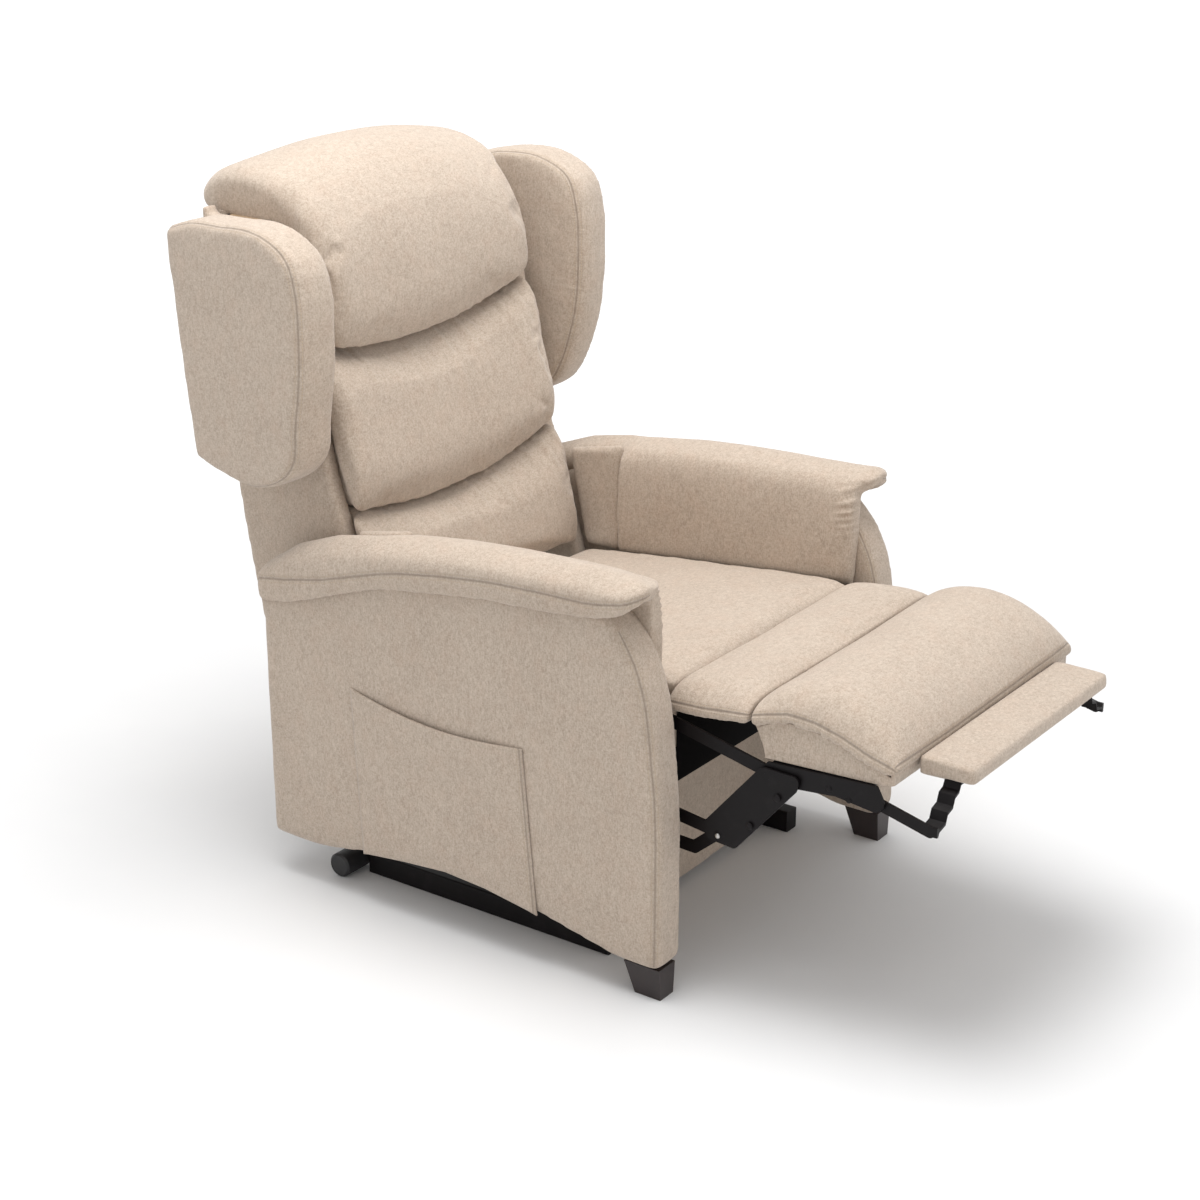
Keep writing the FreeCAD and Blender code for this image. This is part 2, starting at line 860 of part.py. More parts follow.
# Drive links on a torque tube, with the crank of the recline actuator
drive_link = bar(drive_pivot, plate_lower, link_half_width, drive_inner, drive_outer)
drive_link = drilled(drive_link, [drive_pivot], pin_radius, drive_inner, drive_outer)
sleeve_inner = drive_inner - sleeve_length
torque_sleeve = disc(*drive_pivot, sleeve_radius, sleeve_inner, drive_inner)
sleeve_bore = disc(*drive_pivot, pin_radius + running_fit, drive_inner - sleeve_bore_depth,
                   drive_inner + cutter_reach)
torque_sleeve = torque_sleeve.cut(sleeve_bore)
save_pair("drive_link", drive_link.fuse(torque_sleeve).removeSplitter())

torque_tube = disc(*drive_pivot, torque_tube_radius, -sleeve_inner, sleeve_inner)
crank_half = eye_width / 2 + clevis_gap
for x0 in (recline_motor_x - crank_half - clevis_plate, recline_motor_x + crank_half):
    torque_tube = torque_tube.fuse(bar(drive_pivot, recline_crank, eye_radius, x0, x0 + clevis_plate))
save("torque_tube", torque_tube.removeSplitter())


def cover_plate():
    corners = [
        near(plate_lower, 27, 13, 7),
        near(plate_lower, 19, -10, 7),
        near(plate_lower, -27, -14, 9),
        near(plate_upper, -46, -13, 9),
        near(plate_upper, -54, 10, 9),
        near(plate_upper, 10, 12, 14),
    ]
    body = plate(corners, cover_inner, cover_outer)
    body = drilled(body, [plate_upper], pin_radius, cover_inner, cover_outer)
    return body.fuse(rivet(plate_lower, cover_outer))


save_pair("cover_plate", cover_plate())

guide_route = [guide_front] + guide_bends + [guide_rear]
guide_link = bent_bar(guide_route, link_half_width, guide_inner, guide_outer)
save_pair("guide_link", drilled(guide_link, [guide_rear], pin_radius, guide_inner, guide_outer))


# Footrest: bracket, board, pad and knee pad
def board_line(u, drop=0.0):
    slope = (board_front[1] - board_rear[1]) / (board_front[0] - board_rear[0])
    return board_rear[1] + (u - board_rear[0]) * slope - drop


def footrest_bracket():
    # Plate under the board with a flange, and the arm to the hinge at the seat
    low = seat_gap + flange_thickness
    corners = [
        (bracket_rear, board_line(bracket_rear, seat_gap), 2),
        (bracket_front, board_line(bracket_front, seat_gap), 2),
        near(flipper_pivot, -8, 4, 8),
        near(flipper_pivot, 4, -10, 8),
        near(flipper_pivot, 68, -2, 10),
        near(plate_upper, -20, -12, 10),
        near(plate_upper, 18, -12, 8),
    ]
    body = plate(corners, drive_inner, drive_outer)
    body = body.fuse(bar(hinge, arm_end, link_half_width, drive_inner, drive_outer))
    flange = plate([
        (flange_rear, board_line(flange_rear, seat_gap), 0),
        (flange_front, board_line(flange_front, seat_gap), 0),
        (flange_front, board_line(flange_front, low), 0),
        (flange_rear, board_line(flange_rear, low), 0),
    ], drive_inner - flange_width, drive_inner)
    body = body.fuse(flange)
    body = drilled(body, [hinge], pin_radius, drive_inner, drive_outer)
    body = body.fuse(disc(*plate_upper, pin_radius, drive_outer, cover_outer))
    body = body.fuse(disc(*flipper_pivot, pin_radius, arm_inner, drive_inner))
    return body.removeSplitter()


save_pair("footrest_bracket", footrest_bracket())

board_corners = [
    (*board_rear, 4),
    (*board_top_rear, 3),
    (*board_top_front, board_nose_radius),
    (*board_nose, board_nose_radius),
    (*board_front, 6),
]
save("footrest_board", plate(board_corners, -board_half, board_half))


def footrest_shape(place):
    crown = footrest_crown * (1 - place * place)
    corners = [
        (footrest_rear - footrest_tuck, board_top_rear[1] + soft_gap),
        (footrest_rear, footrest_rear_top),
        (footrest_front, footrest_front_top),
        (footrest_front + 2, board_top_front[1] + soft_gap),
    ]
    return corners, [0, footrest_bulge + crown, footrest_front_bulge, 0]


def knee_shape(place):
    crown = knee_crown * (1 - place * place)
    rear = seat_front - knee_gap
    corners = [
        (rear, knee_rear_foot),
        (rear, knee_rear_top),
        (knee_front, knee_front_top),
        (knee_front, knee_front_foot),
    ]
    return corners, [0, knee_bulge + crown, 0, 0]


save("footrest_pad", cushion(footrest_half, footrest_shape, footrest_side_inset))
save("knee_pad", cushion(footrest_half, knee_shape, knee_side_inset))


# Flipper: pad on two joggled steel arms
def flipper_shape(place):
    return flipper_corners, flipper_bulges


save("flipper_pad", cushion(flipper_half, flipper_shape, flipper_side_inset))


def flipper_arm():
    # The strip climbs in steps from the arm's tip to the underside of the pad
    body = bar(flipper_pivot, flipper_tip, flipper_arm_half_width, arm_inner, arm_outer)
    y = point(flipper_tip[0] - flipper_strip_offset, 0).y
    foot = flipper_strip_foot
    lower = [Vec(arm_outer, y, foot), Vec(arm_inner, y, foot), Vec(arm_inner - 3, y, foot + 6)]
    lower += [Vec(arm_inner - x, y, z) for x, z in flipper_steps]
    upper = [corner + Vec(0, 0, flipper_strip_thickness) for corner in lower[2:]]
    top = [corner + Vec(0, 0, flipper_strip_rise) for corner in lower[:2]]
    ring = lower + upper[::-1] + top[::-1]
    strip = Part.Face(Part.makePolygon(ring + ring[:1])).extrude(Vec(0, flipper_strip_width, 0))
    body = body.fuse(strip)
    return drilled(body, [flipper_pivot], pin_radius, arm_inner, arm_outer).removeSplitter()


save_pair("flipper_arm", flipper_arm())


# Backrest
def side_frame():
    rear_edge = [frame_rear_top, frame_rear_middle, frame_rear_foot]
    edges = [line(frame_foot, frame_shin)]
    edges += arcs([frame_shin] + frame_front_edge)
    for a, b in zip([frame_front_edge[-1], frame_shoulder, frame_crown],
                    [frame_shoulder, frame_crown, frame_rear_top]):
        edges.append(line(a, b))
    edges += arcs(rear_edge)
    edges += [line(frame_rear_foot, frame_heel), line(frame_heel, frame_foot)]
    body = extrude_edges(edges, side_frame_inner, side_frame_outer)
    return drilled(body, [back_pivot], axle_radius, side_frame_inner, side_frame_outer)


save_pair("back_side_frame", side_frame())


def back_cover():
    # A panel that follows the rear edges of the side frames
    def rear(corner, inset, rise):
        return corner[0] - inset, corner[1] + rise

    outside = back_cover_inset
    inside = back_cover_inset + back_cover_thickness
    crown = rear(frame_crown, 0, -outside)
    top = rear(frame_rear_top, outside, -4)
    foot = rear(frame_rear_foot, outside, 2)
    inner_foot = rear(frame_rear_foot, inside, 6)
    inner_top = rear(frame_rear_top, inside, -8)
    lip = rear(frame_crown, 16, -outside)
    edges = [line(crown, top)]
    edges += arcs([top, rear(frame_rear_middle, outside, 0), foot])
    edges.append(line(foot, inner_foot))
    edges += arcs([inner_foot, rear(frame_rear_middle, inside, 0), inner_top])
    edges += [line(inner_top, lip), line(lip, crown)]
    return extrude_edges(edges, -rail_half, rail_half)


rail_half = side_frame_inner - seat_gap
save("back_cover", back_cover())
save("back_rails", Part.makeCompound([block(-rail_half, rail_half, *box) for box in back_rail_boxes]))


def bowed(corners, place):
    # Seam corners fall towards the middle; the lifts say how far of the bow each corner takes
    bow = seam_bow * (1 - place * place)
    return [(u + bow * forward, z - bow * fall) for (u, z), forward, fall in corners]


cushion_half = side_frame_inner - soft_gap


def lumbar_shape(place):
    rear_low, front_low, front_top, rear_top = lumbar_corners
    corners = bowed([
        (rear_low, 0, 0),
        (front_low, 0, 0),
        (front_top, seam_bow_forward, 1),
        (rear_top, 0, seam_bow_rear),
    ], place)
    return corners, lumbar_bulges


def middle_shape(place):
    rear_low, front_low, front_top, rear_top = middle_corners
    corners = bowed([
        (rear_low, 0, seam_bow_rear),
        (front_low, seam_bow_forward, 1),
        (front_top, seam_bow_forward, 1),
        (rear_top, 0, seam_bow_rear),
    ], place)
    return corners, middle_bulges


def head_shape(place):
    rise = head_rise * (1 - place * place)
    rear_low, front_low, front_top, crest, rear_top, rear_foot, front_foot = head_corners
    seams = bowed([(rear_low, 0, seam_bow_rear), (front_low, seam_bow_forward, 1)], place)
    corners = seams + [
        (front_top[0] - rise * head_rise_forward, front_top[1] + rise * head_rise_share),
        (crest[0], crest[1] + rise),
        (rear_top[0], rear_top[1] + rise * head_rise_share),
        rear_foot,
        front_foot,
    ]
    return corners, head_bulges


save("lumbar_cushion", cushion(cushion_half, lumbar_shape, cushion_side_inset))
save("middle_cushion", cushion(cushion_half, middle_shape, cushion_side_inset))
save("head_cushion", cushion(cushion_half, head_shape, head_side_inset))


def wing():
    # The outline is cut to a wedge that tapers towards the rear, then all edges are rounded
    spare = wing_spare
    seat_x = side_frame_outer + seat_gap
    front = wing_front - 9
    rear = wing_rear + spare
    body = plate(wing_outline, side_frame_outer - spare, wing_front_outer + spare)
    wedge = Part.makePolygon([
        point(front, 0, wing_front_inner),
        point(rear, 0, seat_x - spare),
        point(rear, 0, wing_rear_outer),
        point(front, 0, wing_front_outer),
        point(front, 0, wing_front_inner),
    ])
    body = body.common(Part.Face(wedge).extrude(Vec(0, 0, rear_reach * 2)))
    body = body.makeFillet(wing_edge_radius, body.Edges)
    return body.cut(block(0, seat_x, wing_front, rear + spare, wing_foot, wing_top))


save_pair("wing", wing())


# Lift base on the floor
def side_tube():
    inner = base_half - tube_width
    body = block(inner, base_half, base_front, base_rear, 0, tube_height)
    body = body.makeFillet(tube_edge_radius, [e for e in body.Edges if e.BoundBox.YLength > tube_height])
    start = base_rear - axle_bracket_reach
    bracket = plate([
        (start, axle_bracket_foot, 0),
        (roller_u + 8, axle_bracket_foot, 6),
        (roller_u + 8, axle_bracket_top, 6),
        (start, axle_bracket_top, 0),
    ], inner - axle_bracket, inner)
    axle = disc(roller_u, roller_radius, axle_radius, inner - axle_bracket, axle_end)
    return body.fuse(bracket).fuse(axle)


def roller():
    body = disc(roller_u, roller_radius, roller_radius, roller_inner, roller_outer)
    rims = [edge for edge in body.Edges if edge.Closed and edge.Length > math.pi * roller_radius]
    body = body.makeChamfer(roller_chamfer, rims)
    bore = disc(roller_u, roller_radius, axle_radius + running_fit, roller_inner - cutter_reach,
                axle_end + seat_gap)
    return body.cut(bore)


save_pair("base_side_tube", side_tube())
save_pair("rear_roller", roller())

rear_half = bracket_outer - axle_bracket
front_tube = block(-bracket_outer, bracket_outer, front_tube_u, front_tube_u + tube_width, 0, tube_height)
save("base_front_tube", front_tube)
rear_tube = block(-rear_half, rear_half, rear_tube_u, rear_tube_u + tube_width, 0, tube_height)
lift_pivot = (lift_motor_u, lift_motor_z)
rear_tube_top = (rear_tube_u, tube_height)
lift_foot = [
    near(lift_pivot, -8, 4, 3),
    near(lift_pivot, 8, 6, 3),
    near(rear_tube_top, 24, -2, 0),
    near(rear_tube_top, 2, -4, 0),
]
rear_tube = rear_tube.fuse(clevis(lift_pivot, lift_motor_x, lift_foot)).removeSplitter()
save("base_rear_tube", rear_tube)


def base_bracket():
    front_tube_top = (front_tube_u, tube_height)
    body = plate([
        near(front_tube_top, 9, 1, 6),
        near(link_base, -17, 12, 14),
        near(link_base, 17, 12, 14),
        near(front_tube_top, 61, 1, 6),
    ], bracket_inner, bracket_outer)
    body = body.fuse(disc(*arm_base, lift_pin_radius, lift_inner + arm_pin_short, bracket_inner))
    return body.fuse(disc(*link_base, lift_pin_radius, link_inner - lift_pin_end, bracket_inner))


def hanger_bracket():
    top = rail_bottom + hanger_top_lap
    body = plate([
        (hanger_front, top, 4),
        (hanger_rear, top, 4),
        (hanger_rear + 2, hanger_foot, 14),
        (hanger_front - 2, hanger_foot, 14),
    ], hanger_inner, hanger_outer)
    body = body.fuse(disc(*arm_chair, lift_pin_radius, lift_inner - lift_pin_end, hanger_inner))
    return body.fuse(disc(*link_chair, lift_pin_radius, link_outer + open_pivot_gap, hanger_inner))


save_pair("base_bracket", base_bracket())
save_pair("hanger_bracket", hanger_bracket())

lift_arm = bar(arm_base, arm_chair, arm_half_width, lift_inner, lift_outer)
save_pair("lift_arm", drilled(lift_arm, [arm_base, arm_chair], lift_pin_radius, lift_inner, lift_outer))
lift_link = bar(link_base, link_chair, lift_link_half_width, link_inner, link_outer)
save_pair("lift_link", drilled(lift_link, [link_base], lift_pin_radius, link_inner, link_outer))

cross_tube = disc(*arm_base, cross_tube_radius, -lift_inner, lift_inner)
for x0 in (lift_motor_x - crank_half - clevis_plate, lift_motor_x + crank_half):
    cross_tube = cross_tube.fuse(bar(arm_base, crank_pin, eye_radius, x0, x0 + clevis_plate))
save("lift_cross_tube", cross_tube.removeSplitter())


# Linear actuators: housing with motor and outer tube, and the rod that slides in it
def actuator(rear, front, x, can_side):
    start = point(*rear, x)
    end = point(*front, x)
    length = (end - start).Length
    along = (end - start).normalize()
    across = Vec(1, 0, 0)
    offset = can_side * motor_offset

    def tube(stretch, radius, side=0.0):
        d0, d1 = stretch
        return Part.makeCylinder(radius, d1 - d0, start + along * d0 + across * side, along)

    def lug(distance, radius, width):
        return Part.makeCylinder(radius, width, start + along * distance - across * (width / 2), across)

    corner = Vec(-motor_offset / 2, -motor_offset / 2, 0)
    bridge = Part.makeBox(motor_offset, motor_offset, motor_offset, corner)
    turn = FreeCAD.Rotation(Vec(0, 0, 1), along)
    bridge.Placement = FreeCAD.Placement(start + along * gearbox[0] + across * (offset / 2), turn)
    housing = tube(gearbox, gearbox_radius).fuse([
        tube(gearbox, gearbox_radius, offset),
        bridge,
        tube(motor_can, motor_radius, offset),
        tube((tube_start, length - tube_short), tube_radius),
        tube(motor_neck, motor_neck_radius),
        lug(0, eye_radius, eye_width),
    ])
    housing = housing.cut(lug(0, pin_radius + running_fit, eye_width + 2 * cutter_reach))
    housing = housing.cut(tube((rod_bore_start, length), rod_radius + running_fit))
    rod = tube((rod_start, length - rod_end_lap), rod_radius).fuse(lug(length, eye_radius, eye_width))
    return housing.removeSplitter(), rod.removeSplitter()


lift_housing, lift_rod = actuator(lift_pivot, crank_pin, lift_motor_x, 1)
save("lift_motor", lift_housing)
save("lift_rod", lift_rod)
recline_housing, recline_rod = actuator(recline_pivot, recline_crank, recline_motor_x, -1)
save("recline_motor", recline_housing)
save("recline_rod", recline_rod)
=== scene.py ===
"""Looks of an upholstered lift recliner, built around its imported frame."""

import json
import math

import bmesh
import bpy
import numpy as np
from bpy.props import FloatProperty, FloatVectorProperty, IntProperty, PointerProperty
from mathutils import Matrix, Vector


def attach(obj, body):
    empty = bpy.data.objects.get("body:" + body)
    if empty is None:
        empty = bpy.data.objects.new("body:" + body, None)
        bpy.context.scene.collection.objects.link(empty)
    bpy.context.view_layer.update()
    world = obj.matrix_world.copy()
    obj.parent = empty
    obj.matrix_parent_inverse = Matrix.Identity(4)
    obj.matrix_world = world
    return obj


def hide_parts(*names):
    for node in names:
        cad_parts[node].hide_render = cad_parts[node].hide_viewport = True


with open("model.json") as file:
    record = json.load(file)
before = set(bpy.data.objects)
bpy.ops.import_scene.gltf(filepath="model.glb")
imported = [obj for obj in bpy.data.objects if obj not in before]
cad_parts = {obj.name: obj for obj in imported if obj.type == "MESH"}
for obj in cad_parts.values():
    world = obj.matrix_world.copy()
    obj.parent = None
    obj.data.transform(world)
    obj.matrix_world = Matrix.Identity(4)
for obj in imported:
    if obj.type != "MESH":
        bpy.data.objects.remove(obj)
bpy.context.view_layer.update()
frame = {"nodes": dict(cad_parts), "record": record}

bl_info = {
    "name": "Lift Recliner Upholstery",
    "version": (1, 0, 0),
    "blender": (4, 5, 0),
    "location": "View3D > Sidebar > Recliner",
    "description": "Cushions, covers, seams and steel finishes of a lift recliner",
    "category": "Add Mesh",
}

MM = 0.001
ORIGIN_U = 266.25
SIDES = {"left": 1, "right": -1}

# Sizes of the frame that the covers follow, in millimetres
BAY_HALF = 284.0
PANEL_OUTER = 350.0
SEAT_FRONT = 43.8
SEAT_REAR = 559.0
SEAT_UNDER = 351.0
SEAT_HALF = 249.5
DRAPE_REAR = 498.0
ARM_REAR = 747.0
SIDE_FRAME_INNER = 250.0
SIDE_FRAME_OUTER = 279.5
FOOT_HALF = 271.0
APRON_HALF = 283.0

# Reach of a seam, how far off its stitches run and the widths of its marks, in metres; the groove
# and stitch rows are also painted darker as shade
SEAM_REACH = 0.016
STITCH_LINE = 0.005
GROOVE = 0.0015
ROW = 0.0014
THREAD = 0.0005
PUCKER = 0.0022

# Kinds of sewn seam: depth, width, height of the gathers, their reach and pitch, in metres
SEWN = {
    "panel": (0.0014, 0.0035, 0.0006, 0.020, 0.016),
    "arm": (0.0018, 0.0040, 0.0016, 0.016, 0.017),
    "footrest": (0.0016, 0.0030, 0.0014, 0.018, 0.022),
    "wing": (0.0014, 0.0035, 0.0008, 0.020, 0.018),
    "cushion front": (0.0008, 0.0050, 0.0016, 0.026, 0.041),
    "cushion top": (0.0008, 0.0050, 0.0040, 0.055, 0.047),
}


def spot(x, u, z):
    """A point of the chair: x to the sitter's left, u behind the panels' front, z up, in mm."""
    return Vector((x * MM, (u - ORIGIN_U) * MM, z * MM))


def in_chair(points):
    """The x, u and z of a mesh's points, in millimetres."""
    return points[:, 0] / MM, points[:, 1] / MM + ORIGIN_U, points[:, 2] / MM


def size_property(name, description, default):
    return FloatProperty(name=name, description=description, default=default, unit="LENGTH")


def colour_property(name, description, default):
    return FloatVectorProperty(name=name, description=description, default=default,
                               subtype="COLOR")


class Sizes(bpy.types.PropertyGroup):
    """Sizes that a maker of the covers would change"""

    weave: size_property("Weave", "Pitch of the weave", 0.0017)
    voxel: size_property("Mesh size", "Mesh size of the covers", 0.006)
    stitch: size_property("Stitch", "Length of one stitch", 0.0045)
    pressure: FloatProperty(name="Filling", description="Pressure of the filling", default=4.0)
    frames: IntProperty(name="Settling", description="Frames that a cushion settles for",
                        default=20)


class Colours(bpy.types.PropertyGroup):
    """Colours of the covers, wood and steel"""

    pale_yarn: colour_property("Pale yarn", "Lighter yarn", (0.560, 0.470, 0.385))
    deep_yarn: colour_property("Deep yarn", "Darker yarn", (0.360, 0.285, 0.222))
    thread: colour_property("Thread", "Sewing thread", (0.50, 0.39, 0.28))
    wood: colour_property("Wood", "Stained feet", (0.0100, 0.0042, 0.0040))
    steel: colour_property("Steel", "Powder coat", (0.0052, 0.0040, 0.0045))


class Value:
    """A shader socket that takes part in Python arithmetic"""

    def __init__(self, tree, socket):
        self.tree = tree
        self.socket = socket

    def maths(self, operation, *terms):
        node = self.tree.nodes.new("ShaderNodeMath")
        node.operation = operation
        for place, term in zip(node.inputs, terms):
            feed(self.tree, place, term)
        return Value(self.tree, node.outputs[0])

    def __add__(self, other):
        return self.maths("ADD", self, other)

    def __sub__(self, other):
        return self.maths("SUBTRACT", self, other)

    def __mul__(self, other):
        return self.maths("MULTIPLY", self, other)

    def __truediv__(self, other):
        return self.maths("DIVIDE", self, other)

    def __pow__(self, other):
        return self.maths("POWER", self, other)

    def __neg__(self):
        return self.maths("MULTIPLY", self, -1.0)

    def __abs__(self):
        return self.maths("ABSOLUTE", self)

    def sine(self):
        return self.maths("SINE", self)

    def hump(self, width):
        """1 where the value is 0, fading away within the width."""
        return self.maths("EXPONENT", -((self / width) ** 2.0))

    def over(self, limit):
        return self.maths("GREATER_THAN", self, limit)


def feed(tree, socket, term):
    """Link a value to a socket, or set the socket's own number or colour."""
    if isinstance(term, Value):
        tree.links.new(term.socket, socket)
    elif hasattr(term, "__len__") and len(term) == 3 and len(socket.default_value) == 4:
        socket.default_value = (*term, 1.0)
    else:
        socket.default_value = term


class Finish:
    """A material with one Principled shader"""

    def __init__(self, name, **sockets):
        self.material = bpy.data.materials.new(name)
        self.material.use_nodes = True
        self.tree = self.material.node_tree
        self.shader = self.tree.nodes["Principled BSDF"]
        self.set(**sockets)

    def set(self, **sockets):
        for name, term in sockets.items():
            feed(self.tree, self.shader.inputs[name.replace("_", " ")], term)

    def add(self, kind, settings=None, sockets=None, output=0):
        node = self.tree.nodes.new("ShaderNode" + kind)
        for name, setting in (settings or {}).items():
            setattr(node, name, setting)
        for name, term in (sockets or {}).items():
            feed(self.tree, node.inputs[name], term)
        return Value(self.tree, node.outputs[output])

    def place(self):
        return self.add("TexCoord", output=3)

    def stretched(self, *scale):
        return self.add("Mapping", {}, {"Vector": self.place(), "Scale": scale})

    def noise(self, vector, scale, detail=2.0, rough=0.5):
        sockets = {"Vector": vector, "Scale": scale, "Detail": detail, "Roughness": rough}
        return self.add("TexNoise", {}, sockets)

    def mixed(self, share, a, b):
        sockets = {0: share, 6: a, 7: b}
        return self.add("Mix", {"data_type": "RGBA", "clamp_factor": True}, sockets, output=2)

    def drawn(self, name):
        """A number that the piece's mesh carries."""
        return self.add("Attribute", {"attribute_name": name}, output=2)

    def axes(self, vector):
        node = self.tree.nodes.new("ShaderNodeSeparateXYZ")
        feed(self.tree, node.inputs[0], vector)
        return [Value(self.tree, socket) for socket in node.outputs]

    def made(self, colour, roughness, height, strength, depth):
        """The material, with its colour, its roughness and a bump of some strength and depth."""
        relief = self.add("Bump", {}, {"Height": height, "Strength": strength, "Distance": depth})
        self.set(Base_Color=colour, Roughness=roughness, Normal=relief)
        return self.material


def woven_cover(name, pale, deep, thread_colour, weave, stitch):
    """Beige melange cloth: two yarns, a fine weave, a soft nap, stitches beside the seams and
    painted seam shade.
    """
    cloth = Finish(name, Sheen_Weight=0.22, Sheen_Roughness=0.55, Specular_IOR_Level=0.25)
    here = cloth.place()
    flecks = cloth.noise(cloth.stretched(1.0, 1.0, 0.4), 540.0, 3.0, 0.65)
    across = cloth.noise(cloth.stretched(0.4, 0.4, 1.0), 520.0, 2.0, 0.6)
    mottle = cloth.noise(cloth.stretched(1.0, 1.0, 0.6), 120.0, 3.0, 0.6)
    drift = cloth.noise(here, 9.0)
    share = (flecks - 0.5) * 2.0 + (across - 0.5) * 1.1
    share = share + (mottle - 0.5) * 0.9 + (drift - 0.5) * 0.3 + 0.5
    yarns = cloth.mixed(share, deep, pale)
    rose = cloth.noise(here, 38.0)
    redder = [deep[0] * 1.35, deep[1] * 1.18, deep[2] * 1.12]
    tinted = cloth.mixed((rose - 0.45) * 0.5, yarns, redder)

    x, y, z = cloth.axes(here)
    turn = 2 * math.pi / weave
    wander = (cloth.noise(here, 260.0) - 0.5) * 3.2
    threads = (x * turn + wander).sine() * (z * turn).sine()
    threads = threads + (y * turn + wander).sine() * (z * turn + 1.1).sine()
    threads = threads + (x * turn).sine() * (y * turn + 0.6).sine()
    nap = cloth.noise(here, 900.0, 3.0, 0.7)
    dents = cloth.noise(here, 24.0)

    near = cloth.drawn("seam_near").over(0.02)
    gap = abs(cloth.drawn("seam_side"))
    run = cloth.drawn("seam_run")
    # Seam marks: the groove and the stitch rows are pressed in by the bump and also painted darker
    # as shade in their dents
    groove_and_shade = gap.hump(GROOVE) * near
    rows = (gap - STITCH_LINE).hump(ROW) * near
    pull = (run * (2 * math.pi / stitch)).sine()
    thread = (gap - STITCH_LINE).hump(THREAD).over(0.45) * pull.over(-0.35) * near
    # Painted shade: darker colour in the seam's groove and then along its stitch rows
    shaded = cloth.mixed(groove_and_shade * 0.6, tinted, [c * 0.62 for c in deep])
    seamed = cloth.mixed(rows * 0.35, shaded, deep)
    stitched = cloth.mixed(thread * 0.8, seamed, thread_colour)
    cover = threads * 0.16 + nap * 0.5 + flecks * 0.5 + dents * 2.2
    pucker = (gap - STITCH_LINE).hump(PUCKER) * pull * near
    sewn = groove_and_shade * -3.4 - rows * 1.1 + pucker * 0.35 + thread * 1.1
    return cloth.made(stitched, 0.95, cover + sewn, 0.55, 0.0006)


def powder_coat(name, colour):
    """Satin black powder coat with a fine orange peel and rubbed patches."""
    coat = Finish(name, Specular_IOR_Level=0.18)
    peel = coat.noise(coat.place(), 620.0, 3.0, 0.6)
    wear = coat.noise(coat.place(), 34.0, 4.0, 0.6)
    rubbed = coat.mixed((wear - 0.52) * 2.0, colour, [c * 2.4 + 0.004 for c in colour])
    return coat.made(rubbed, wear * 0.22 + peel * 0.12 + 0.28, peel, 0.25, 0.0004)


def bare_steel(name, colour, brush):
    """Drawn or ground steel, brushed along one direction."""
    steel = Finish(name, Metallic=1.0)
    lines = steel.noise(steel.stretched(*brush), 300.0, 3.0, 0.6)
    brushed = steel.mixed(lines, [c * 0.7 for c in colour], colour)
    return steel.made(brushed, lines * 0.25 + 0.2, lines, 0.15, 0.0002)


def stained_wood(name, colour):
    """Dark stained wood with upright grain under a satin lacquer."""
    wood = Finish(name, Coat_Weight=0.2, Coat_Roughness=0.3)
    grain = wood.noise(wood.stretched(1.0, 1.0, 0.07), 260.0, 4.0, 0.65)
    bands = wood.noise(wood.stretched(1.0, 1.0, 0.12), 45.0)
    share = grain * 0.8 + bands * 0.8 - 0.55
    stained = wood.mixed(share, colour, [c * 2.4 + 0.004 for c in colour])
    return wood.made(stained, grain * 0.2 + 0.3, grain, 0.25, 0.0003)


def plywood(name):
    """Pale plywood of the boards inside."""
    ply = Finish(name)
    layers = ply.noise(ply.stretched(0.1, 1.0, 1.0), 90.0, 3.0)
    layered = ply.mixed(layers, (0.42, 0.27, 0.14), (0.62, 0.46, 0.29))
    return ply.made(layered, layers * 0.2 + 0.55, layers, 0.2, 0.0004)


def moulded(name, colour, scale):
    """Moulded plastic or rubber with a fine sparked texture."""
    skin = Finish(name)
    grit = skin.noise(skin.place(), scale, 2.0, 0.6)
    scuff = skin.noise(skin.place(), 30.0, 3.0, 0.6)
    scuffed = skin.mixed((scuff - 0.5) * 1.6, colour, [c * 1.9 + 0.006 for c in colour])
    return skin.made(scuffed, grit * 0.2 + 0.45, grit, 0.3, 0.0003)


def lining_cloth(name):
    """Black non-woven dust cloth with its dot bonding."""
    cloth = Finish(name, Specular_IOR_Level=0.08)
    cells = cloth.add("TexVoronoi", {}, {"Vector": cloth.place(), "Scale": 480.0})
    fibres = cloth.noise(cloth.place(), 700.0, 3.0, 0.7)
    black = cloth.mixed(fibres, (0.0012, 0.0010, 0.0010), (0.0050, 0.0042, 0.0044))
    return cloth.made(black, fibres * 0.15 + 0.8, cells, 0.4, 0.0004)


def painted_floor(name):
    """Plain pale floor that glows white away from the chair, as in a studio."""
    floor = Finish(name, Emission_Strength=1.08)
    here = floor.place()
    cloud = floor.noise(here, 6.0, 2.0, 0.5)
    x, y, z = floor.axes(here)
    far = (((x * x + y * y) ** 0.5) - 0.85) / 1.6
    glow = floor.add("MapRange", {"interpolation_type": "SMOOTHSTEP"}, {0: far})
    pale = floor.mixed(cloud, (0.76, 0.76, 0.765), (0.79, 0.79, 0.79))
    floor.set(Base_Color=floor.mixed(glow, pale, (0.0, 0.0, 0.0)))
    floor.set(Emission_Color=floor.mixed(glow, (0.0, 0.0, 0.0), (1.0, 1.0, 1.0)))
    floor.set(Roughness=cloud * 0.1 + 0.75)
    return floor.material


FINISHES = {}


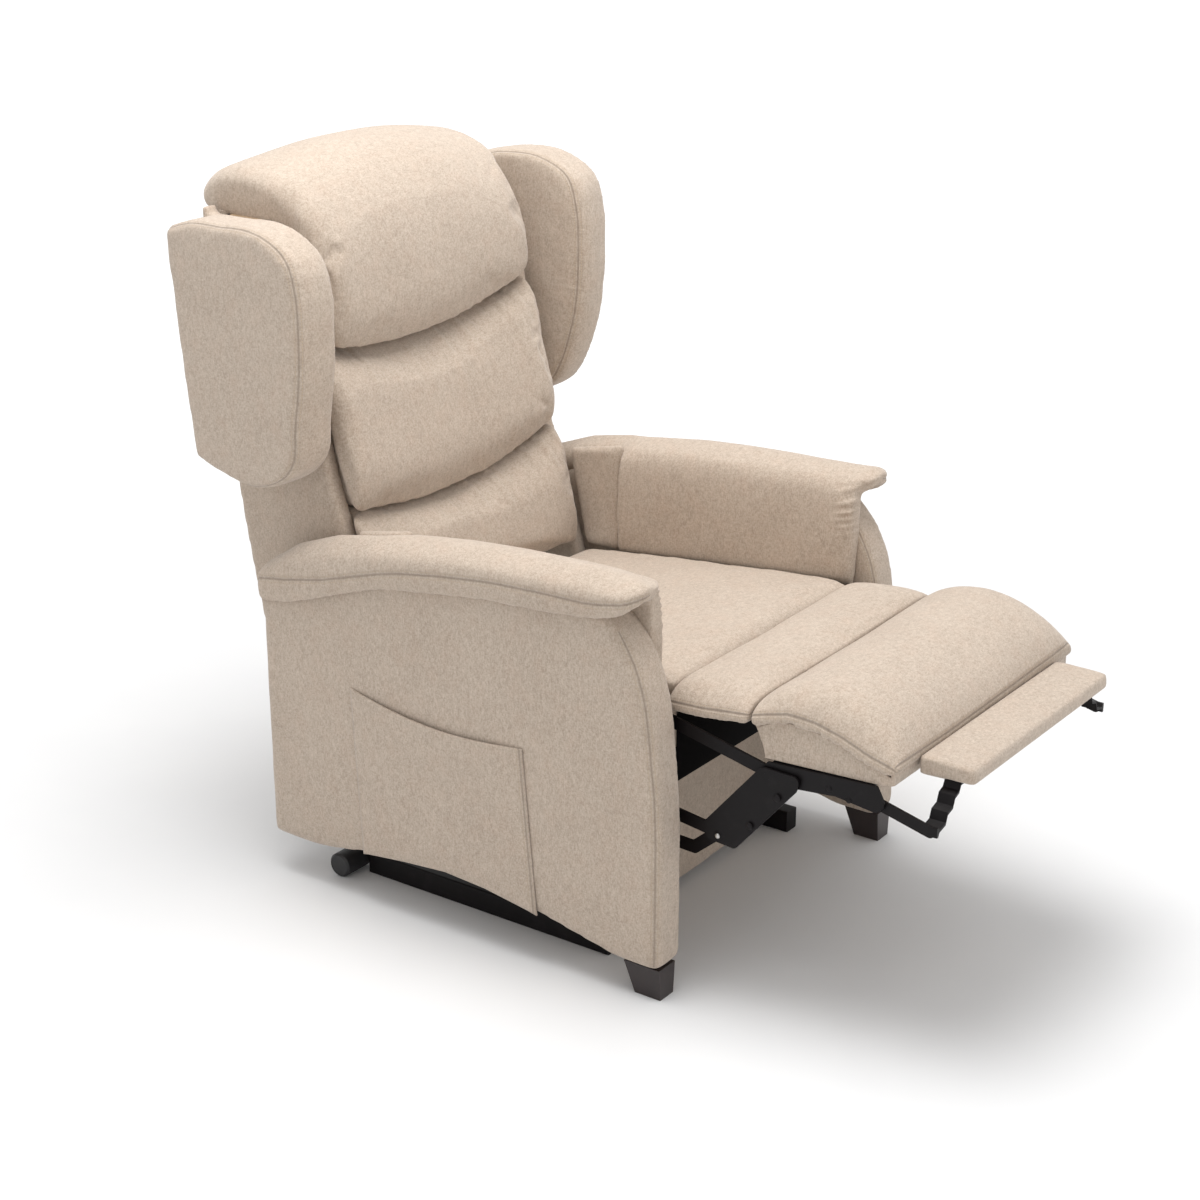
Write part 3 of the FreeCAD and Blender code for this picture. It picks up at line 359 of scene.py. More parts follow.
def make_finishes():
    colours = bpy.context.scene.recliner_colours
    sizes = bpy.context.scene.recliner_sizes
    yarns = [list(colours.pale_yarn), list(colours.deep_yarn), list(colours.thread)]
    FINISHES.update({
        "cloth": woven_cover("woven_cover", *yarns, sizes.weave, sizes.stitch),
        "steel": powder_coat("black_powder_coat", list(colours.steel)),
        "bright": bare_steel("bright_rivet_steel", (0.58, 0.57, 0.55), (1.0, 1.0, 1.0)),
        "rod": bare_steel("ground_rod_steel", (0.55, 0.55, 0.56), (1.0, 0.05, 1.0)),
        "spring": bare_steel("drawn_spring_wire", (0.32, 0.31, 0.30), (0.3, 0.3, 1.0)),
        "wood": stained_wood("stained_foot_wood", list(colours.wood)),
        "ply": plywood("board_plywood"),
        "motor": moulded("motor_housing_plastic", (0.012, 0.012, 0.013), 900.0),
        "roller": moulded("roller_rubber", (0.020, 0.020, 0.021), 700.0),
        "lining": lining_cloth("black_lining_cloth"),
        "floor": painted_floor("pale_floor"),
    })


def net(columns, rows, place):
    """A net of points: place(s, t) says where each goes, s across the net and t along it."""
    bm = bmesh.new()
    bmesh.ops.create_grid(bm, x_segments=columns, y_segments=rows, size=1.0)
    for vert in bm.verts:
        vert.co = place((vert.co.x + 1) / 2, (vert.co.y + 1) / 2)
    return bm


def wrapped(columns, rows, place):
    """A closed tube, with s of place(s, t) round the tube and t along it."""
    bm = net(columns, rows, place)
    bmesh.ops.remove_doubles(bm, verts=bm.verts, dist=1e-6)
    bmesh.ops.holes_fill(bm, edges=bm.edges, sides=0)
    bmesh.ops.recalc_face_normals(bm, faces=bm.faces)
    return bm


def board(outline, low, high, radius=0.0):
    """A board cut to an outline of (u, z), from low to high across, with rounded edges.

    Each of low and high is a number or a rule for (u, z), in millimetres.
    """
    def across(edge, u, z):
        return edge(u, z) if callable(edge) else edge

    bm = bmesh.new()
    front = bm.faces.new([bm.verts.new(spot(across(low, u, z), u, z)) for u, z in outline])
    pushed = bmesh.ops.extrude_face_region(bm, geom=[front])
    for vert in [g for g in pushed["geom"] if isinstance(g, bmesh.types.BMVert)]:
        vert.co.x = across(high, vert.co.y / MM + ORIGIN_U, vert.co.z / MM) * MM
    bmesh.ops.recalc_face_normals(bm, faces=bm.faces)
    rims = [e for e in bm.edges if len(e.link_faces) == 2 and e.calc_face_angle(0.0) > 1.2]
    if radius > 0:
        bmesh.ops.bevel(bm, geom=rims, offset=radius * MM, offset_type="OFFSET", segments=3,
                        profile=0.5, affect="EDGES", material=-1, clamp_overlap=True)
    return bm


def joined(*parts):
    """Several shapes as one."""
    whole = bmesh.new()
    for part in parts:
        spare = bpy.data.meshes.new("spare")
        part.to_mesh(spare)
        part.free()
        whole.from_mesh(spare)
        bpy.data.meshes.remove(spare)
    return whole


def flowing(points, steps=6):
    """Points on a smooth line through the given ones."""
    line = []
    points = [points[0], *points, points[-1]]
    for around in zip(points, points[1:], points[2:], points[3:]):
        for f in (k / steps for k in range(steps)):
            line.append(tuple(
                0.5 * (2 * q + (r - p) * f + (2 * p - 5 * q + 4 * r - s) * f * f
                       + (3 * q - p - 3 * r + s) * f ** 3)
                for p, q, r, s in zip(*around)
            ))
    return line + [tuple(points[-1])]


def on_line(line, share):
    """The place at a share of the way along a line; at 1 it is back at the start."""
    at = (share % 1.0) * (len(line) - 1)
    f = at - int(at)
    return [p + (q - p) * f for p, q in zip(line[int(at)], line[int(at) + 1])]


def on_loop(loop, share):
    """The place at a share of the way round a closed loop of vectors."""
    at = (share % 1.0) * len(loop)
    return loop[int(at) % len(loop)].lerp(loop[(int(at) + 1) % len(loop)], at - int(at))


def read(mesh, what="co"):
    """The points of a mesh, or their normals."""
    values = np.zeros(len(mesh.vertices) * 3)
    mesh.vertices.foreach_get(what, values)
    return values.reshape(-1, 3)


def write(mesh, points):
    mesh.vertices.foreach_set("co", points.ravel())
    mesh.update()


def push_out(thing, height):
    """Move each point of a piece along its normal."""
    write(thing.data, read(thing.data) + read(thing.data, "normal") * height[:, None])


def fixed(thing):
    """Apply an object's modifiers."""
    graph = bpy.context.evaluated_depsgraph_get()
    mesh = bpy.data.meshes.new_from_object(thing.evaluated_get(graph), depsgraph=graph)
    thing.modifiers.clear()
    thing.data = mesh


def new_piece(name, bm, material):
    mesh = bpy.data.meshes.new(name)
    bm.to_mesh(mesh)
    bm.free()
    thing = bpy.data.objects.new(name, mesh)
    bpy.context.scene.collection.objects.link(thing)
    mesh.materials.append(material)
    mesh.shade_smooth()
    return thing


def even_mesh(thing, size):
    """Give a piece an even mesh of small squares."""
    material = thing.data.materials[0]
    remesh = thing.modifiers.new("Even mesh", "REMESH")
    remesh.mode = "VOXEL"
    remesh.voxel_size = size
    remesh.adaptivity = 0.0
    fixed(thing)
    thing.data.materials.clear()
    thing.data.materials.append(material)


def relax(thing, rounds):
    """Round a piece off by moving its points towards their neighbours."""
    bm = bmesh.new()
    bm.from_mesh(thing.data)
    for _ in range(rounds):
        bmesh.ops.smooth_vert(bm, verts=bm.verts, factor=0.5,
                              use_axis_x=True, use_axis_y=True, use_axis_z=True)
    bm.to_mesh(thing.data)
    bm.free()
    thing.data.update()


def covered(name, bm, rounds=2, size=None):
    """A piece of cloth with an even mesh and softened edges."""
    cover = new_piece(name, bm, FINISHES["cloth"])
    even_mesh(cover, size or bpy.context.scene.recliner_sizes.voxel)
    relax(cover, rounds)
    return cover


def filled(thing, cap, pinned, pressure=None):
    """Blow a cover up with its filling, except where it is pinned; no point moves past the cap."""
    sizes = bpy.context.scene.recliner_sizes
    start = read(thing.data)
    group = thing.vertex_groups.new(name="sewn down")
    group.add([int(i) for i in np.flatnonzero(pinned(*in_chair(start)))], 1.0, "REPLACE")
    cloth = thing.modifiers.new("Cover", "CLOTH")
    cloth.settings.use_pressure = True
    cloth.settings.uniform_pressure_force = pressure or sizes.pressure
    cloth.settings.effector_weights.gravity = 0.0
    cloth.settings.quality = 4
    cloth.collision_settings.use_collision = False
    cloth.settings.vertex_group_mass = "sewn down"
    cloth.point_cache.frame_start = 1
    cloth.point_cache.frame_end = sizes.frames
    for moment in range(1, sizes.frames + 1):
        bpy.context.scene.frame_set(moment)
    fixed(thing)
    moved = read(thing.data) - start
    far = np.linalg.norm(moved, axis=1, keepdims=True)
    write(thing.data, start + moved * np.minimum(1.0, cap / np.maximum(far, 1e-9)))
    thing.vertex_groups.clear()
    bpy.context.scene.frame_set(1)


def finer(thing):
    """One round of subdivision, applied."""
    smooth = thing.modifiers.new("Finer mesh", "SUBSURF")
    smooth.levels = 1
    smooth.render_levels = 1
    fixed(thing)
    thing.data.shade_smooth()


def beside(points, path):
    """Each point's distance from a line, the way along it, the offset and the line's direction."""
    path = np.array([tuple(p) for p in path])
    steps = np.diff(path, axis=0)
    lengths = np.linalg.norm(steps, axis=1)
    starts = np.concatenate([[0.0], np.cumsum(lengths)])
    distance = np.full(len(points), 1e9)
    nearest = np.zeros(len(points), dtype=int)
    share = np.zeros(len(points))
    for i, (a, step) in enumerate(zip(path, steps)):
        f = np.clip(((points - a) @ step) / max(lengths[i] ** 2, 1e-12), 0, 1)
        away = np.linalg.norm(points - (a + f[:, None] * step), axis=1)
        closer = away < distance
        distance = np.where(closer, away, distance)
        nearest[closer] = i
        share[closer] = f[closer]
    along = starts[nearest] + share * lengths[nearest]
    offset = points - (path[nearest] + share[:, None] * steps[nearest])
    return distance, along, offset, steps[nearest] / np.maximum(lengths[nearest], 1e-9)[:, None]


def hills(values, pitch, seed):
    """A smooth run of uneven waves."""
    rng = np.random.default_rng(seed)
    total = np.zeros(len(values))
    for stretch in (1.0, 1.73, 0.61, 0.37):
        phase, swing = rng.uniform(0, 6.28, 2)
        bent = phase + 1.5 * np.sin(values / pitch + swing)
        total += np.sin(values * 2 * math.pi / (pitch * stretch) + bent)
    return total / 3.2


def sew(thing, kind, *paths, seed=0):
    """Press seams into a cover along their paths, with gathers that fade away from them."""
    depth, width, gather, reach, pitch = SEWN[kind]
    for number, path in enumerate(paths, seed):
        distance, along = beside(read(thing.data), path)[:2]
        folds = np.maximum(hills(along, pitch, number), -0.4)
        folds *= 0.6 + 0.6 * hills(along, pitch * 4.3, number + 9)
        fade = np.exp(-distance / reach) * np.clip(distance / (width * 1.5), 0, 1)
        push_out(thing, gather * folds * fade - depth * np.exp(-(distance / width) ** 2))


def mark_seams(thing, *paths):
    """Give a cover's mesh its place beside the nearest seam, for the stitches and painted seam
    shade in its finish.
    """
    mesh = thing.data
    points, normals = read(mesh), read(mesh, "normal")
    best = np.full(len(points), 1e9)
    side = np.zeros(len(points))
    run = np.zeros(len(points))
    for path in paths:
        distance, along, offset, line = beside(points, path)
        across = np.cross(line, normals)
        across /= np.maximum(np.linalg.norm(across, axis=1, keepdims=True), 1e-6)
        closer = distance < best
        best = np.where(closer, distance, best)
        side = np.where(closer, np.einsum("ij,ij->i", offset, across), side)
        run = np.where(closer, along, run)
    near = np.clip(1 - best / SEAM_REACH, 0, 1)
    for name, values in (("seam_near", near), ("seam_side", side), ("seam_run", run)):
        attribute = mesh.attributes.new(name, "FLOAT", "POINT")
        attribute.data.foreach_set("value", values.astype(np.float32))


def uneven(thing, height, pitch, seed):
    """Slight unevenness of hand-made upholstery."""
    points = read(thing.data)
    rng = np.random.default_rng(seed)
    waves = np.zeros(len(points))
    for _ in range(7):
        direction = rng.normal(size=3)
        direction *= 2 * math.pi / (pitch * rng.uniform(0.7, 1.6)) / np.linalg.norm(direction)
        waves += np.sin(points @ direction + rng.uniform(0, 6.28))
    push_out(thing, waves * height / 3)


def finish_piece(thing, body, slot, *nodes, fill=None):
    """Fix a finished piece to its body and hide the nodes it stands for."""
    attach(thing, body)
    if nodes:
        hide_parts(*nodes)


def across_sections(half, section, ends):
    """A cushion across the chair: section(place) gives a closed line, drawn in at the ends."""
    lines = {}

    def place(s, t):
        side = math.sin((t - 0.5) * math.pi)
        key = round(t, 6)
        if key not in lines:
            loop = [Vector(p) for p in section(side)]
            centre = sum(loop, Vector((0, 0))) / len(loop)
            over = max(0.0, abs(side) - (1 - ends / half)) * half / ends
            inset = ends * (1 - math.sqrt(max(0.0, 1 - over * over)))
            lines[key] = [p + (centre - p).normalized() * min(inset, (centre - p).length * 0.9)
                          for p in loop]
        return spot(side * half, *on_loop(lines[key], s))

    return wrapped(96, 60, place)


def bulged(corners, bulges, steps=24, power=2):
    """A closed line through corners whose sides bulge; a higher power gives flatter sides."""
    centre = sum((Vector(c) for c in corners), Vector((0, 0))) / len(corners)
    line = []
    for i, corner in enumerate(corners):
        a, b = Vector(corner), Vector(corners[(i + 1) % len(corners)])
        out = Vector(((b - a).y, -(b - a).x)).normalized()
        if out.dot((a + b) / 2 - centre) < 0:
            out = -out
        for f in (k / steps for k in range(steps)):
            line.append(a.lerp(b, f) + out * bulges[i] * (1 - abs(2 * f - 1) ** power))
    return line


PANEL_CURVE = [(7, 364), (18, 454), (34, 505), (60, 549)]
PANEL_FOOT = [(662, 64), (598, 72), (540, 85), (471, 93), (387, 100), (310, 95), (230, 83),
              (150, 65), (68, 50)]
PANEL_OUTLINE = (
    [(0, 50), (0, 160), (0, 274)]
    + flowing([(0, 274)] + PANEL_CURVE + [(100, 588)], 4)[1:]
    + flowing([(100, 588), (284, 590), (454, 575), (600, 547), (ARM_REAR, 471)], 4)[1:]
    + [(ARM_REAR, 300), (ARM_REAR, 64)]
    + flowing(PANEL_FOOT, 3)
)
BORDER = flowing([(0, 50), (0, 274)] + PANEL_CURVE, 6)


class RECLINER_OT_side_panels(bpy.types.Operator):
    """Upholstered side panels with a border strip down their front"""

    bl_idname = "recliner.side_panels"
    bl_label = "Side Panels"

    def execute(self, context):
        for side, sign in SIDES.items():
            inner, outer = sign * (BAY_HALF + 0.5), sign * (PANEL_OUTER - 1.0)
            bm = board(PANEL_OUTLINE, inner, outer, 9.0)
            panel = covered("side_panel_cover_" + side, bm, 3, 0.007)
            points = read(panel.data)
            outside = np.clip((sign * points[:, 0] - 0.330) / 0.018, 0, 1)
            edge = [spot(sign * PANEL_OUTER, u, z) for u, z in PANEL_OUTLINE + PANEL_OUTLINE[:1]]
            rim = beside(points, edge)[0]
            points[:, 0] += sign * outside * (1 - np.exp(-rim / 0.05)) * 0.002
            write(panel.data, points)
            finer(panel)
            seams = [
                [spot(sign * x, u + 2 + set_back * min(1.0, (549 - z) / 60), z) for u, z in BORDER]
                for x, set_back in ((PANEL_OUTER - 3, 5), (BAY_HALF + 3, 0))
            ]
            sew(panel, "panel", *seams)
            uneven(panel, 0.0004, 0.07, 11)
            mark_seams(panel, *seams)
            finish_piece(panel, "chair", "woven_fabric_side", "side_panel_" + side)
        return {"FINISHED"}


NOSE = 33.5
NOSE_LENGTH = 45.0
DRAPE_FRONT = 53.0
# Along an arm pad: u, height of the crest, the piping and the lower edge, outer and inner side
ARM_STATIONS = [
    (33.5, 622, 614, 606, 324, 306),
    (35, 625, 613, 604, 337, 299),
    (38, 627, 612, 602, 346, 291),
    (44, 629, 610, 599, 355, 282),
    (51, 631, 608, 594, 361, 274),
    (59, 631, 606, 588, 364, 267),
    (72, 631, 604, 583, 364, 261),
    (92, 631, 600, 577, 364, 260),
    (120, 632, 597, 572, 364, 259),
    (200, 631, 596, 565, 364, 258),
    (284, 628, 592, 561, 364, 257),
    (370, 623, 583, 552, 364, 257),
    (454, 614, 570, 541, 364, 258),
    (496, 608, 560, 532, 364, 260),
    (510, 606, 556, 529, 364, 280),
    (600, 589, 530, 501, 364, 285),
    (680, 562, 513, 474, 363, 285),
    (738, 524, 503, 464, 361, 286),
    (747, 508, 496, 470, 357, 289),
]


def arm_values(u):
    """Heights of an arm pad's crest, piping and lower edge, and its outer and inner side."""
    along, *columns = zip(*ARM_STATIONS)
    return [float(np.interp(u, along, column)) for column in columns]


def leaning(x, u, z):
    """The nose of an arm leans back below its crest, on the side towards the seat."""
    lean = max(0.0, 619 - z) * 0.8 * max(0.0, min(1.0, (350 - x) / 60))
    return u + lean * (1 - min(1.0, (u - NOSE) / NOSE_LENGTH))


def seat_side_line(u):
    """Height of the seat's edge beside the arm."""
    return 463.0 - (u - SEAT_FRONT) * (463.0 - 425.0) / (DRAPE_REAR - SEAT_FRONT)


def eased(t):
    """A way from 0 to 1 that starts and ends slowly."""
    return 0.5 - 0.5 * math.cos(t * math.pi)


class RECLINER_OT_arm_pads(bpy.types.Operator):
    """Soft arm pads rolled over the panels, with a drape down to the seat"""

    bl_idname = "recliner.arm_pads"
    bl_label = "Arm Pads"

    def cap_line(self, u):
        """Section of the pad on top of the arm, as (x, z)."""
        crest, piping, lower, outer, inner = arm_values(u)
        full = min(1.0, (u - NOSE) / NOSE_LENGTH)
        wide = outer - inner
        under = crest - 24 - 30 * full ** 0.7
        return flowing([
            (inner + 0.52 * wide, lower + 1 + 23 * full),
            (inner + 0.80 * wide, lower + 1 + 11 * full),
            (inner + 0.89 * wide, lower),
            (outer - 0.04 * wide, lower + 4),
            (outer, piping),
            (outer - 0.07 * wide, piping + (crest - piping) * 0.6),
            (outer - 0.40 * wide, crest),
            (inner + 0.36 * wide, crest - 3),
            (inner + 0.11 * wide, crest - 13 * (0.4 + 0.6 * full)),
            (inner + 0.02 * wide, crest - (crest - under) * 0.6),
            (inner + 0.10 * wide, under + 2),
            (inner + 0.24 * wide, under),
        ])

    def drape_line(self, u):
        """Section of the drape down to the seat, as (x, z)."""
        crest = arm_values(u)[0]
        foot = seat_side_line(u) - 5
        inner = BAY_HALF - 32.0 + 13.0 * math.exp(-(u - DRAPE_FRONT) / 10)
        return flowing([
            (BAY_HALF + 10, crest - 16), (inner + 14, crest - 20), (inner + 4, crest - 42),
            (inner, (crest + foot) / 2), (inner + 1, foot + 20), (inner + 6, foot),
            (BAY_HALF - 1, foot), (BAY_HALF + 10, crest - 50), (BAY_HALF + 10, crest - 16),
        ])

    def fold_nose(self, pad, sign):
        """Short folds across the drape's front end and the inner corner of the nose."""
        across, u, z = in_chair(read(pad.data))
        inside = np.clip((290 - sign * across) / 10, 0, 1)
        front = np.exp(-(np.maximum(u - 58, 0) / 17) ** 2)
        high = np.clip((z - 515) / 60, 0, 1) * np.clip((622 - z) / 12, 0, 1)
        folds = np.sin(z * 2 * math.pi / 15 + 1.9 * np.sin(z / 13 + sign) + u * 0.09)
        push_out(pad, 0.0016 * np.maximum(folds, -0.6) * inside * front * high)

    def execute(self, context):
        for side, sign in SIDES.items():
            def cap(s, t):
                u = NOSE + (ARM_REAR - NOSE) * eased(t)
                x, z = on_line(self.cap_line(u), s)
                return spot(sign * x, leaning(x, u, z), z)

            def drape(s, t):
                u = DRAPE_FRONT + (DRAPE_REAR - DRAPE_FRONT - 0.5) * eased(t)
                x, z = on_line(self.drape_line(u), s)
                return spot(sign * x, u, z)

            shape = joined(wrapped(64, 60, cap), wrapped(56, 50, drape))
            pad = covered("arm_pad_cover_" + side, shape, 2, 0.0045)
            finer(pad)
            stations = [(u, arm_values(u)) for u in range(36, 748, 6)]
            piping = [spot(sign * values[3], u, values[1]) for u, values in stations]
            sew(pad, "arm", piping, seed=5)
            self.fold_nose(pad, sign)
            uneven(pad, 0.0008, 0.12, 31)
            mark_seams(pad, piping)
            finish_piece(pad, "chair", "woven_fabric", "arm_pad_" + side, fill=0.7)

            def filler_inner(u, z):
                return sign * (BAY_HALF - 24 + max(0.0, (z - 560) * 0.12))

            corners = [(DRAPE_REAR + 0.5, 419), (DRAPE_REAR + 0.5, 603), (606, 582), (570, 419)]
            bm = board(corners, filler_inner, sign * (BAY_HALF - 1), 6.0)
            filler = covered("arm_filler_cover_" + side, bm)
            finer(filler)
            nodes = ["arm_fillers"] if side == "left" else []
            finish_piece(filler, "chair", "woven_fabric_side", *nodes)
        return {"FINISHED"}


SEAT_TOP = flowing([(45, 456), (56, 461), (90, 463), (180, 457), (300, 446), (420, 434),
                    (520, 424), (SEAT_REAR, 417)])


class RECLINER_OT_seat(bpy.types.Operator):
    """Seat cushion between the arms, with the lining below its front edge"""

    bl_idname = "recliner.seat"
    bl_label = "Seat"

    def section(self, place):
        crown = 4.0 * (1 - place * place)
        under = [(u, SEAT_UNDER) for u in (SEAT_REAR, 400, 200, 45)]
        return under + [(45, 400)] + [
            (u, z + crown * math.sin(math.pi * (u - 45) / (SEAT_REAR - 45))) for u, z in SEAT_TOP
        ]

    def execute(self, context):
        seat = covered("seat_cover", across_sections(SEAT_HALF, self.section, 7.0))
        filled(seat, 0.004, lambda x, u, z: (abs(x) > 240) | (z < 405), pressure=3.0)
        points = read(seat.data)
        points[:, 0] = np.clip(points[:, 0], -0.2498, 0.2498)
        points[:, 1] = np.maximum(points[:, 1], (SEAT_FRONT + 0.6 - ORIGIN_U) * MM)
        write(seat.data, points)
        finer(seat)
        uneven(seat, 0.0008, 0.16, 51)
        finish_piece(seat, "chair", "woven_fabric", "seat_cushion", fill=0.7)
        hanging = [(42.9, 302), (42.9, 423), (SEAT_FRONT, 423), (SEAT_FRONT, 302)]
        lining = new_piece("seat_front_lining", board(hanging, -240.0, 240.0), FINISHES["lining"])
        finish_piece(lining, "chair", "black_lining")
        return {"FINISHED"}


PIPING = [(-333, 422), (-318, 428), (-282, 438), (-240, 454), (-198, 464), (-157, 466),
          (-125, 458), (-96, 450), (-20, 441), (44, 438)]
KNEE_TOP = flowing([(42, 459), (33, 465), (10, 471), (-25, 475), (-58, 476), (-80, 473),
                    (-93, 467)], 5)
PAD_TOP = flowing([(-96, 467), (-106, 476), (-125, 489), (-155, 500), (-200, 506), (-245, 500),
                   (-285, 483), (-312, 461), (-328, 436)], 5)
PAD_UNDER = [(-327, 421), (-316, 421), (-316, 417), (-210, 413), (-113, 410), (-104, 430),
             (-96, 445)]


def piping_line(u):
    """Height of the piping round the footrest's padded top."""
    return np.interp(u, *zip(*PIPING))


def padded_top(line, place):
    """The padded top across one section; it rolls down to the piping at the sides."""
    rise = 1 - math.exp(-FOOT_HALF * (1 - abs(place)) / 17.0)
    pulled = 8.0 * max(0.0, place)
    return [(u, piping_line(u) + (z - piping_line(u)) * rise + pulled) for u, z in line]


class RECLINER_OT_footrest(bpy.types.Operator):
    """Knee pad, footrest pad and its covered board"""

    bl_idname = "recliner.footrest"
    bl_label = "Footrest"

    def knee(self, place):
        return padded_top(KNEE_TOP, place) + [
            (u, piping_line(u) - 13) for u in (-93, -60, -20, 20, 42)
        ]

    def pad(self, place):
        return padded_top(PAD_TOP, place) + PAD_UNDER

    def board_cover(self):
        slab = [(-119, 390.5), (-113, 407), (-315, 413), (-315, 404), (-303, 399.5)]
        skirt = [(-118, 391), (-120, 394), (-114, 414), (-106, 433)] + flowing([
            (-108, 434), (-125, 444), (-157, 452), (-198, 450), (-240, 440), (-282, 424),
            (-317, 413),
        ], 3) + [(-321, 416), (-321, 403), (-303, 398.5)]
        front = [(-316, 400.5), (-316, 424), (-322, 424), (-322, 403)]
        box = joined(
            board(slab, -261.5, 261.5, 2.0),
            board(front, -265.6, 265.6, 1.2),
            board(skirt, 262.4, 265.4, 1.2),
            board(skirt, -262.4, -265.4, 1.2),
        )
        box = new_piece("footrest_board_cover", box, FINISHES["cloth"])
        finish_piece(box, "footrest", "woven_fabric_side", "footrest_board")

    def execute(self, context):
        for node, section, line, front, rear, inner in (
            ("knee_pad", self.knee, KNEE_TOP, -89, 38, 275.0),
            ("footrest_pad", self.pad, PAD_TOP, -322, -100, 261.5),
        ):
            def sewn_down(x, u, z):
                return (z < piping_line(u) + 3) | (u > rear) | (u < front)

            name = node + "_cover"
            cover = covered(name, across_sections(FOOT_HALF, section, 2.5), 1, 0.0042)
            filled(cover, 0.0035, sewn_down, pressure=3.0)
            points = read(cover.data)
            x, u, z = in_chair(points)
            low = z < piping_line(u) - 14
            points[:, 0] = np.where(low, np.clip(x, -inner, inner), x) * MM
            write(cover.data, points)
            finer(cover)
            seams = [[spot(sign * FOOT_HALF, u, piping_line(u) + 5 + 4 * sign) for u, z in line]
                     for sign in SIDES.values()]
            if node == "footrest_pad":
                seams.append([spot(x, -327, 434 + 8 * max(0, x) / FOOT_HALF)
                              for x in range(-268, 269, 8)])
            sew(cover, "footrest", *seams, seed=40)
            uneven(cover, 0.0008, 0.13, len(name))
            mark_seams(cover, *seams)
            finish_piece(cover, "footrest", "woven_fabric", node, fill=0.7)
        self.board_cover()
        return {"FINISHED"}


class RECLINER_OT_flipper(bpy.types.Operator):
    """Fold-over pad at the footrest's end"""

    bl_idname = "recliner.flipper"
    bl_label = "Fold-over Pad"

    def section(self, place):
        crown = 2.0 * (1 - place ** 4)
        corners = [(-329.5, 403), (-329.5, 430), (-412, 428), (-412.5, 406)]
        return bulged(corners, [1, 2 + crown, 1.5, 0.5], power=4)

    def execute(self, context):
        pad = covered("flipper_pad_cover", across_sections(212.0, self.section, 5.0), 1, 0.004)
        finer(pad)
        finish_piece(pad, "flipper", "woven_fabric", "flipper_pad", fill=0.8)
        return {"FINISHED"}


def upper_bow(place):
    """How far the upper seam hangs; the covers are pulled lower on the pocket side."""
    return 41 - 19 * place - 36 * place * place


def lower_bow(place):
    """How far the lower seam hangs."""
    return 47 - 16.5 * place - 39.5 * place * place


def lumbar_section(place):
    bow = lower_bow(place)
    corners = [(672, 428), (568, 426), (619 + bow * 0.1, 624 - bow), (716, 612 - bow * 0.4)]
    return bulged(corners, [0, 19, 3, 0], power=3.4)


def middle_section(place):
    bow = lower_bow(place)
    over = upper_bow(place)
    corners = [(718, 619 - bow * 0.4), (611 + bow * 0.1, 628 - bow),
               (676 + over * 0.1, 864 - over), (762, 862 - over * 0.4)]
    return bulged(corners, [2, 20, 3, 0], power=4.0)


def head_section(place):
    bow = upper_bow(place)
    rise = 26 * (1 - place * place)
    lift = min(1.0, rise / 20)
    front = flowing([
        (665 + bow * 0.1, 868 - bow), (657 + bow * 0.1, 888 - bow * 0.9),
        (659 + bow * 0.06, 935 - bow * 0.5), (669, 978 - bow * 0.2),
        (687 - lift * 2, 1020 + rise * 0.2), (714 - lift * 3, 1056 + rise * 0.5),
        (750 - lift * 3, 1082 + rise * 0.8), (797, 1096 + rise), (852, 1100 + rise),
        (903, 1090 + rise * 0.8), (933, 1066 + rise * 0.4), (938, 1048),
    ])
    under = 1036 - 8 * max(0.0, -place)
    rear = [(925, under), (840, under), (748, under), (758, 960)]
    return [(768, 870 - bow * 0.4), (716, 869 - bow * 0.7)] + front + rear


FRAME_FRONT = [(577, 404), (626, 560), (662, 675), (698, 850), (737, 1017)]


def frame_front(z):
    """Front line of the back's side frames."""
    return np.interp(z, [z for u, z in FRAME_FRONT], [u for u, z in FRAME_FRONT])


def widened(cover, spread, drawn_in=6.0):
    """Let a cushion spread over the side frame on the pocket side, and draw it in opposite."""
    points = read(cover.data)
    x, u, z = in_chair(points)
    ahead = np.clip((frame_front(z) - 3 - u) / 12, 0, 1)
    out = np.clip((np.abs(x) - 170) / 75, 0, 1)
    points[:, 0] += np.where(x < 0, -spread, -drawn_in) * MM * ahead * out
    write(cover.data, points)


def held_in(cover):
    """Keep a cushion between the side frames where they stand beside it."""
    points = read(cover.data)
    x, u, z = in_chair(points)
    points[:, 0] = np.where(frame_front(z) - 2 < u, np.clip(x, -249.6, 249.6), x) * MM
    write(cover.data, points)


class RECLINER_OT_back_cushions(bpy.types.Operator):
    """Three stacked back cushions with gathered seams"""

    bl_idname = "recliner.back_cushions"
    bl_label = "Back Cushions"

    def execute(self, context):
        for node, section, ends, spread, edge_at in (
            ("lumbar_cushion", lumbar_section, 15.0, 22.0, 24),
            ("middle_cushion", middle_section, 15.0, 22.0, 24),
            ("head_cushion", head_section, 28.0, 7.0, 2),
        ):
            name = node + "_cover"
            cover = covered(name, across_sections(249.0, section, ends))
            widened(cover, spread)
            filled(cover, 0.007, lambda x, u, z: u > 620 + (z - 430) * 0.24)
            finer(cover)
            edge, top = (
                [spot(248.8 * f, *section(f)[at]) for f in np.linspace(-0.97, 0.97, 60)]
                for at in (edge_at, 48)
            )
            sew(cover, "cushion front", edge, seed=len(name))
            if node != "head_cushion":
                sew(cover, "cushion top", top, seed=len(name) + 3)
            uneven(cover, 0.0012, 0.13, len(name))
            held_in(cover)
            finish_piece(cover, "backrest", "woven_fabric", node, fill=0.6)
        return {"FINISHED"}


BACK_OUTLINE = (
    [(578, 353), (577, 404)]
    + flowing(FRAME_FRONT, 5)[1:]
    + [(752, 1033), (883, 1033)]
    + flowing([(883, 1033), (896, 1016), (853, 621), (811, 390)])[1:]
    + [(790, 367)]
)


